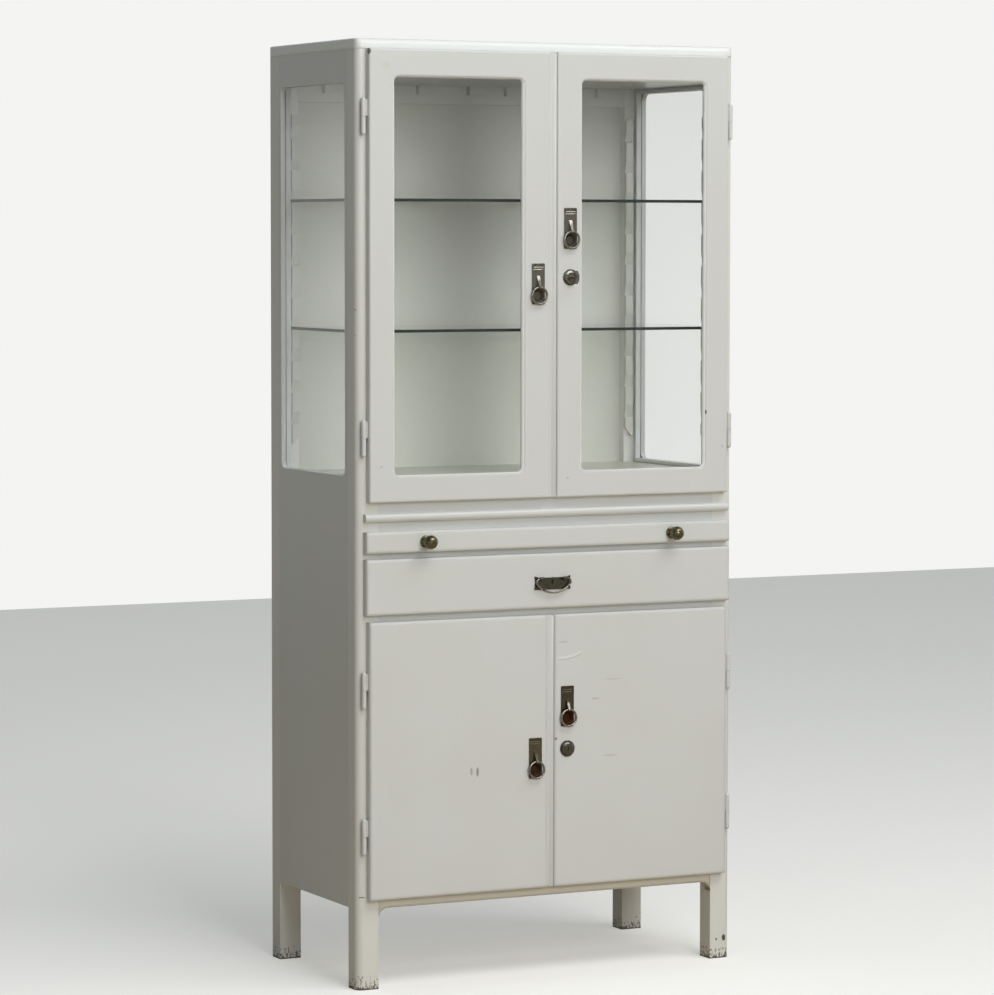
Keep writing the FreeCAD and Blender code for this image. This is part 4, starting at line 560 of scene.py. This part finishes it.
def finished(name, mesh, material, body, *replaced, slot="nickel"):
    """Makes a smooth piece of a mesh, which rides on a body and may stand for CAD nodes."""
    bmesh.ops.remove_doubles(mesh, verts=mesh.verts, dist=WELD)
    bmesh.ops.recalc_face_normals(mesh, faces=mesh.faces)
    for face in mesh.faces:
        face.smooth = True
    data = bpy.data.meshes.new(name)
    mesh.to_mesh(data)
    mesh.free()
    data.materials.append(material)
    piece = bpy.data.objects.new(name, data)
    bpy.context.collection.objects.link(piece)
    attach(piece, body)
    if replaced:
        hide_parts(*replaced)


def corners(parts):
    """The vertices among the parts that an operator made."""
    return [part for part in parts if isinstance(part, bmesh.types.BMVert)]


def pull_ring(name, metal):
    """Round wire bent to a ring, brazed shut."""
    middle = box_of(name)[0]
    mesh = bmesh.new()
    start = Matrix.Translation(middle + Vector((RING_RADIUS, 0, 0)))
    bmesh.ops.create_circle(mesh, segments=RING_SIDES, radius=RING_WIRE, matrix=start)
    bmesh.ops.spin(mesh, geom=mesh.verts[:] + mesh.edges[:], cent=middle, axis=(0, 1, 0), angle=2 * math.pi,
                   steps=RING_STEPS, use_merge=True)
    finished(name + "_wire", mesh, metal, name, name)


def bail_wire(metal):
    """Thick wire bent to a shallow bail: two pins in the posts, tight corners and a wide sweep."""
    low, high = (Vector(corner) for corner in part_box("drawer_bail"))
    y = (low.y + high.y) / 2
    pivot_z = low.z + BAIL_DROP + BAIL_WIRE
    sweep_z = pivot_z - BAIL_DROP + BAIL_SWEEP
    bend_z = pivot_z - BAIL_BEND
    rise = sweep_z - bend_z
    bend_x = math.sqrt((BAIL_SWEEP - BAIL_BEND) ** 2 - rise ** 2)
    slope = math.atan2(rise, bend_x)
    mesh = bmesh.new()
    start = Matrix.Translation((BAIL_PIN_X, y, pivot_z)) @ Matrix.Rotation(math.pi / 2, 4, "Y")
    bmesh.ops.create_circle(mesh, cap_ends=True, segments=BAIL_SIDES, radius=BAIL_WIRE, matrix=start)
    end = corners(bmesh.ops.extrude_edge_only(mesh, edges=mesh.edges[:])["geom"])
    bmesh.ops.translate(mesh, verts=end, vec=(bend_x - BAIL_PIN_X, 0, 0))
    ring = end + [edge for edge in mesh.edges if all(vert in end for vert in edge.verts)]
    for centre, angle, steps in (((bend_x, y, bend_z), math.pi / 2 + slope, BAIL_BEND_STEPS),
                                 ((0, y, sweep_z), math.pi / 2 - slope, BAIL_SWEEP_STEPS)):
        swept = bmesh.ops.spin(mesh, geom=ring, cent=centre, axis=(0, 1, 0), angle=angle, steps=steps)
        ring = swept["geom_last"]
    half = mesh.verts[:] + mesh.edges[:] + mesh.faces[:]
    bmesh.ops.mirror(mesh, geom=half, axis="X", merge_dist=MIRROR_WELD)
    finished("drawer_bail_wire", mesh, metal, "drawer_bail", "drawer_bail")


def turned_knobs(metal):
    """Two hollow knobs spun from sheet: flared foot, waist, rolled rim and ball head."""
    low, high = (Vector(corner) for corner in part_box("slide_knobs"))
    face = low.y + KNOB_REACH
    z = (low.z + high.z) / 2
    profile = [(reach * MM, radius * MM) for reach, radius in KNOB_PROFILE]
    for angle in map(math.radians, KNOB_CROWN_ANGLES):
        profile.append((KNOB_REACH - KNOB_BALL * (1 - math.sin(angle)), KNOB_BALL * math.cos(angle)))
    mesh = bmesh.new()
    for x in (low.x + KNOB_BALL, high.x - KNOB_BALL):
        middle = Vector((x, face, z))
        points = [mesh.verts.new(middle + Vector((radius, -reach, 0))) for reach, radius in profile]
        edges = [mesh.edges.new(pair) for pair in zip(points, points[1:])]
        bmesh.ops.spin(mesh, geom=points + edges, cent=middle, axis=(0, 1, 0), angle=2 * math.pi,
                       steps=KNOB_STEPS, use_merge=True)
    finished("slide_knobs_turned", mesh, metal, "writing_slide", "slide_knobs")


def plate_ribs(name, metal):
    """Two ribs stamped across the top of a ring pull's plate."""
    low, high = (Vector(corner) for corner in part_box(name + "_pull_plate"))
    face = front_of(name + "_leaf") - PLATE_FACE
    mesh = bmesh.new()
    for drop in RIB_DROPS:
        place = Matrix.Translation(((low.x + high.x) / 2, face, high.z - drop))
        bmesh.ops.create_uvsphere(mesh, u_segments=RIB_SEGMENTS, v_segments=RIB_RINGS, radius=1,
                                  matrix=place @ Matrix.Diagonal((*RIB_HALF, 1)))
    finished(name + "_pull_ribs", mesh, metal, name + "_door")


def closing_lip(side, paint):
    """Sloped lip along the left door's ledge that the right door closes onto: the floor of the seam."""
    low, high = (Vector(corner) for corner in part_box(side + "_left_leaf"))
    mesh = bmesh.new()
    points = [mesh.verts.new((high.x + x * MM, low.y + y * MM, low.z + LIP_END)) for x, y in LIP_PROFILE]
    end = mesh.faces.new(points)
    grown = corners(bmesh.ops.extrude_face_region(mesh, geom=[end])["geom"])
    bmesh.ops.translate(mesh, verts=grown, vec=(0, 0, high.z - low.z - 2 * LIP_END))
    bmesh.ops.bevel(mesh, geom=mesh.edges[:], offset=LIP_SOFT, affect="EDGES",
                    segments=LIP_SOFT_STEPS, profile=0.5, material=-1)
    finished(side + "_left_closing_lip", mesh, paint, side + "_left_door", slot="paint")


def window_edge(name, paint):
    """Round edge of an upper door's window, from the leaf's bevel to the pane, flatter at head and foot."""
    low, high = (Vector(corner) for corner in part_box(name + "_pane"))
    middle, half = (low + high) / 2, (high - low) / 2
    mesh = bmesh.new()
    loops = []
    for inset, rise in WINDOW_EDGE_PROFILE:
        radius = WINDOW_RADIUS - inset * MM
        across = half.x - REBATE_WIDTH - inset * MM - radius
        along = half.z - REBATE_WIDTH - inset * MM * HEAD_SHARE - radius
        points = []
        for quarter, (x, z) in enumerate(((1, 1), (-1, 1), (-1, -1), (1, -1))):
            for step in range(CORNER_STEPS + 1):
                angle = (quarter + step / CORNER_STEPS) * math.pi / 2
                place = (middle.x + x * across + radius * math.cos(angle), low.y - rise * MM,
                         middle.z + z * along + radius * math.sin(angle))
                points.append(mesh.verts.new(place))
        loops.append(list(zip(points, points[1:] + points[:1])))
    for outer, inner in zip(loops, loops[1:] + loops[:1]):
        for (first, second), (third, fourth) in zip(outer, inner):
            mesh.faces.new((first, second, fourth, third))
    finished(name + "_window_edge", mesh, paint, name + "_door", slot="paint")


def smooth_fittings():
    """Round fittings that the solids only give with flats, and the soft edges of the doors."""
    ball = nickel_plated_brass("tarnished_nickel_knobs", "#6E6A50", "#2B2A20", patina=0.6)
    bright = nickel_plated_brass("worn_nickel_wire", "#8F8C83", "#3A3932")
    ribs = {"upper": nickel_plated_brass("worn_nickel_ribs", "#D6D3C6", "#8F8B7C", patina=0.2),
            "lower": nickel_plated_brass("tarnished_nickel_ribs", "#77725F", "#4E4B41")}
    lips = brushed_oil_paint("oil_paint_lips", UPRIGHT)
    # The window edges are painted lighter as a painted highlight
    edges = brushed_oil_paint("oil_paint_window_edge_highlight", UPRIGHT, PAINT_EDGE_HIGHLIGHT)
    for name in PULLS:
        pull_ring(name + "_ring", bright)
        plate_ribs(name, ribs[name.split("_")[0]])
    bail_wire(bright)
    turned_knobs(ball)
    for side in ("upper", "lower"):
        closing_lip(side, lips)
    for name in ("upper_left", "upper_right"):
        window_edge(name, edges)


def pale_floor():
    """Plain pale floor, pale to the camera also through glass, that throws back a wooden floor's light."""
    bpy.ops.mesh.primitive_plane_add(size=FLOOR_SIZE)
    floor = bpy.context.object
    floor.name = "studio_floor"
    material, tree = new_material("pale_matt_floor")
    path = add(tree, "LightPath")
    looked_at = add(tree, "Math", {0: path["Is Camera Ray"], 1: path["Is Transmission Ray"]},
                    operation="MAXIMUM")[0]
    direct = add(tree, "Math", {0: path["Diffuse Depth"], 1: 0.5}, operation="LESS_THAN")[0]
    seen = add(tree, "Math", {0: looked_at, 1: direct}, operation="MULTIPLY")[0]
    colour = add(tree, "Mix", {0: seen, 6: linear(FLOOR_BOUNCE), 7: linear(FLOOR_SEEN)}, data_type="RGBA")[2]
    matt = add(tree, "BsdfPrincipled", {"Base Color": colour, "Roughness": 0.9})
    strength = add(tree, "Math", {0: seen, 1: FLOOR_LIFT}, operation="MULTIPLY")[0]
    lift = add(tree, "Emission", {"Color": linear(FLOOR_SEEN), "Strength": strength})
    pale = add(tree, "AddShader", {0: matt[0], 1: lift[0]})
    add(tree, "OutputMaterial", {"Surface": pale[0]})
    floor.data.materials.append(material)


def pale_world():
    """Pale backdrop for the camera, mirrors and glass, and a faint cool room light for everything else."""
    world = bpy.data.worlds.new("studio_world")
    bpy.context.scene.world = world
    world.use_nodes = True
    tree = world.node_tree
    tree.nodes.clear()
    path = add(tree, "LightPath")
    bent = add(tree, "Math", {0: path["Is Glossy Ray"], 1: path["Is Transmission Ray"]},
               operation="MAXIMUM")[0]
    looked_at = add(tree, "Math", {0: path["Is Camera Ray"], 1: bent}, operation="MAXIMUM")[0]
    # Light that a wall has scattered counts as room light, also where it leaves through a window.
    direct = add(tree, "Math", {0: path["Diffuse Depth"], 1: 0.5}, operation="LESS_THAN")[0]
    seen = add(tree, "Math", {0: looked_at, 1: direct}, operation="MULTIPLY")[0]
    room = add(tree, "Background", {"Color": linear(AMBIENT_TINT), "Strength": AMBIENT_STRENGTH})
    # Reflections show the pale backdrop behind and to the right, and a dimmer room elsewhere.
    toward = add(tree, "VectorMath", {0: add(tree, "TexCoord")["Generated"], 1: PALE_SIDE},
                 operation="DOT_PRODUCT")["Value"]
    share = add(tree, "MapRange", {"Value": toward, "From Min": PALE_FROM, "From Max": PALE_TO,
                                   "To Min": DIM_ROOM}, interpolation_type="SMOOTHSTEP")[0]
    missing = add(tree, "Math", {0: 1.0, 1: share}, operation="SUBTRACT")[0]
    dimmed = add(tree, "Math", {0: path["Is Glossy Ray"], 1: missing}, operation="MULTIPLY")[0]
    strength = add(tree, "Math", {0: 1.0, 1: dimmed}, operation="SUBTRACT")[0]
    backdrop = add(tree, "Background", {"Color": linear(SEEN_TINT), "Strength": strength})
    both = add(tree, "MixShader", {0: seen, 1: room[0], 2: backdrop[0]})
    add(tree, "OutputWorld", {"Surface": both[0]})


def hang_lamps():
    """A wide soft lamp overhead, a softer one in front, and a weak cool strip at the left."""
    for name, place, width, height, power, tint in LAMPS:
        lamp = bpy.data.lights.new(name, "AREA")
        lamp.shape = "RECTANGLE"
        lamp.size, lamp.size_y = width, height
        lamp.color = linear(tint)[:3]
        lamp.energy = power
        holder = bpy.data.objects.new(name, lamp)
        holder.location = place
        holder.rotation_mode = "QUATERNION"
        holder.rotation_quaternion = (LAMP_AIM - place).to_track_quat("-Z", "Y")
        bpy.context.collection.objects.link(holder)


def place_camera():
    """Camera at the photograph's place, aim and lens."""
    level = math.cos(CAMERA_PITCH)
    forward = Vector((-math.sin(CAMERA_YAW) * level, math.cos(CAMERA_YAW) * level, math.sin(CAMERA_PITCH)))
    right = Vector((math.cos(CAMERA_YAW), math.sin(CAMERA_YAW), 0))
    up = right.cross(forward)
    turn = Matrix((right, up, -forward)).transposed().to_4x4()
    data = bpy.data.cameras.new("camera")
    data.sensor_width = SENSOR_WIDTH
    data.lens = CAMERA_PIXELS * SENSOR_WIDTH / IMAGE_LONG_SIDE
    data.clip_start, data.clip_end = CAMERA_REACH
    camera = bpy.data.objects.new("camera", data)
    camera.matrix_world = Matrix.Translation(CAMERA_PLACE) @ turn @ Matrix.Rotation(CAMERA_ROLL, 4, "Z")
    bpy.context.collection.objects.link(camera)
    bpy.context.scene.camera = camera


paint_wood()
finish_fittings()
smooth_fittings()
pale_floor()
pale_world()
hang_lamps()
place_camera()
bpy.context.scene.view_settings.view_transform = "Standard"
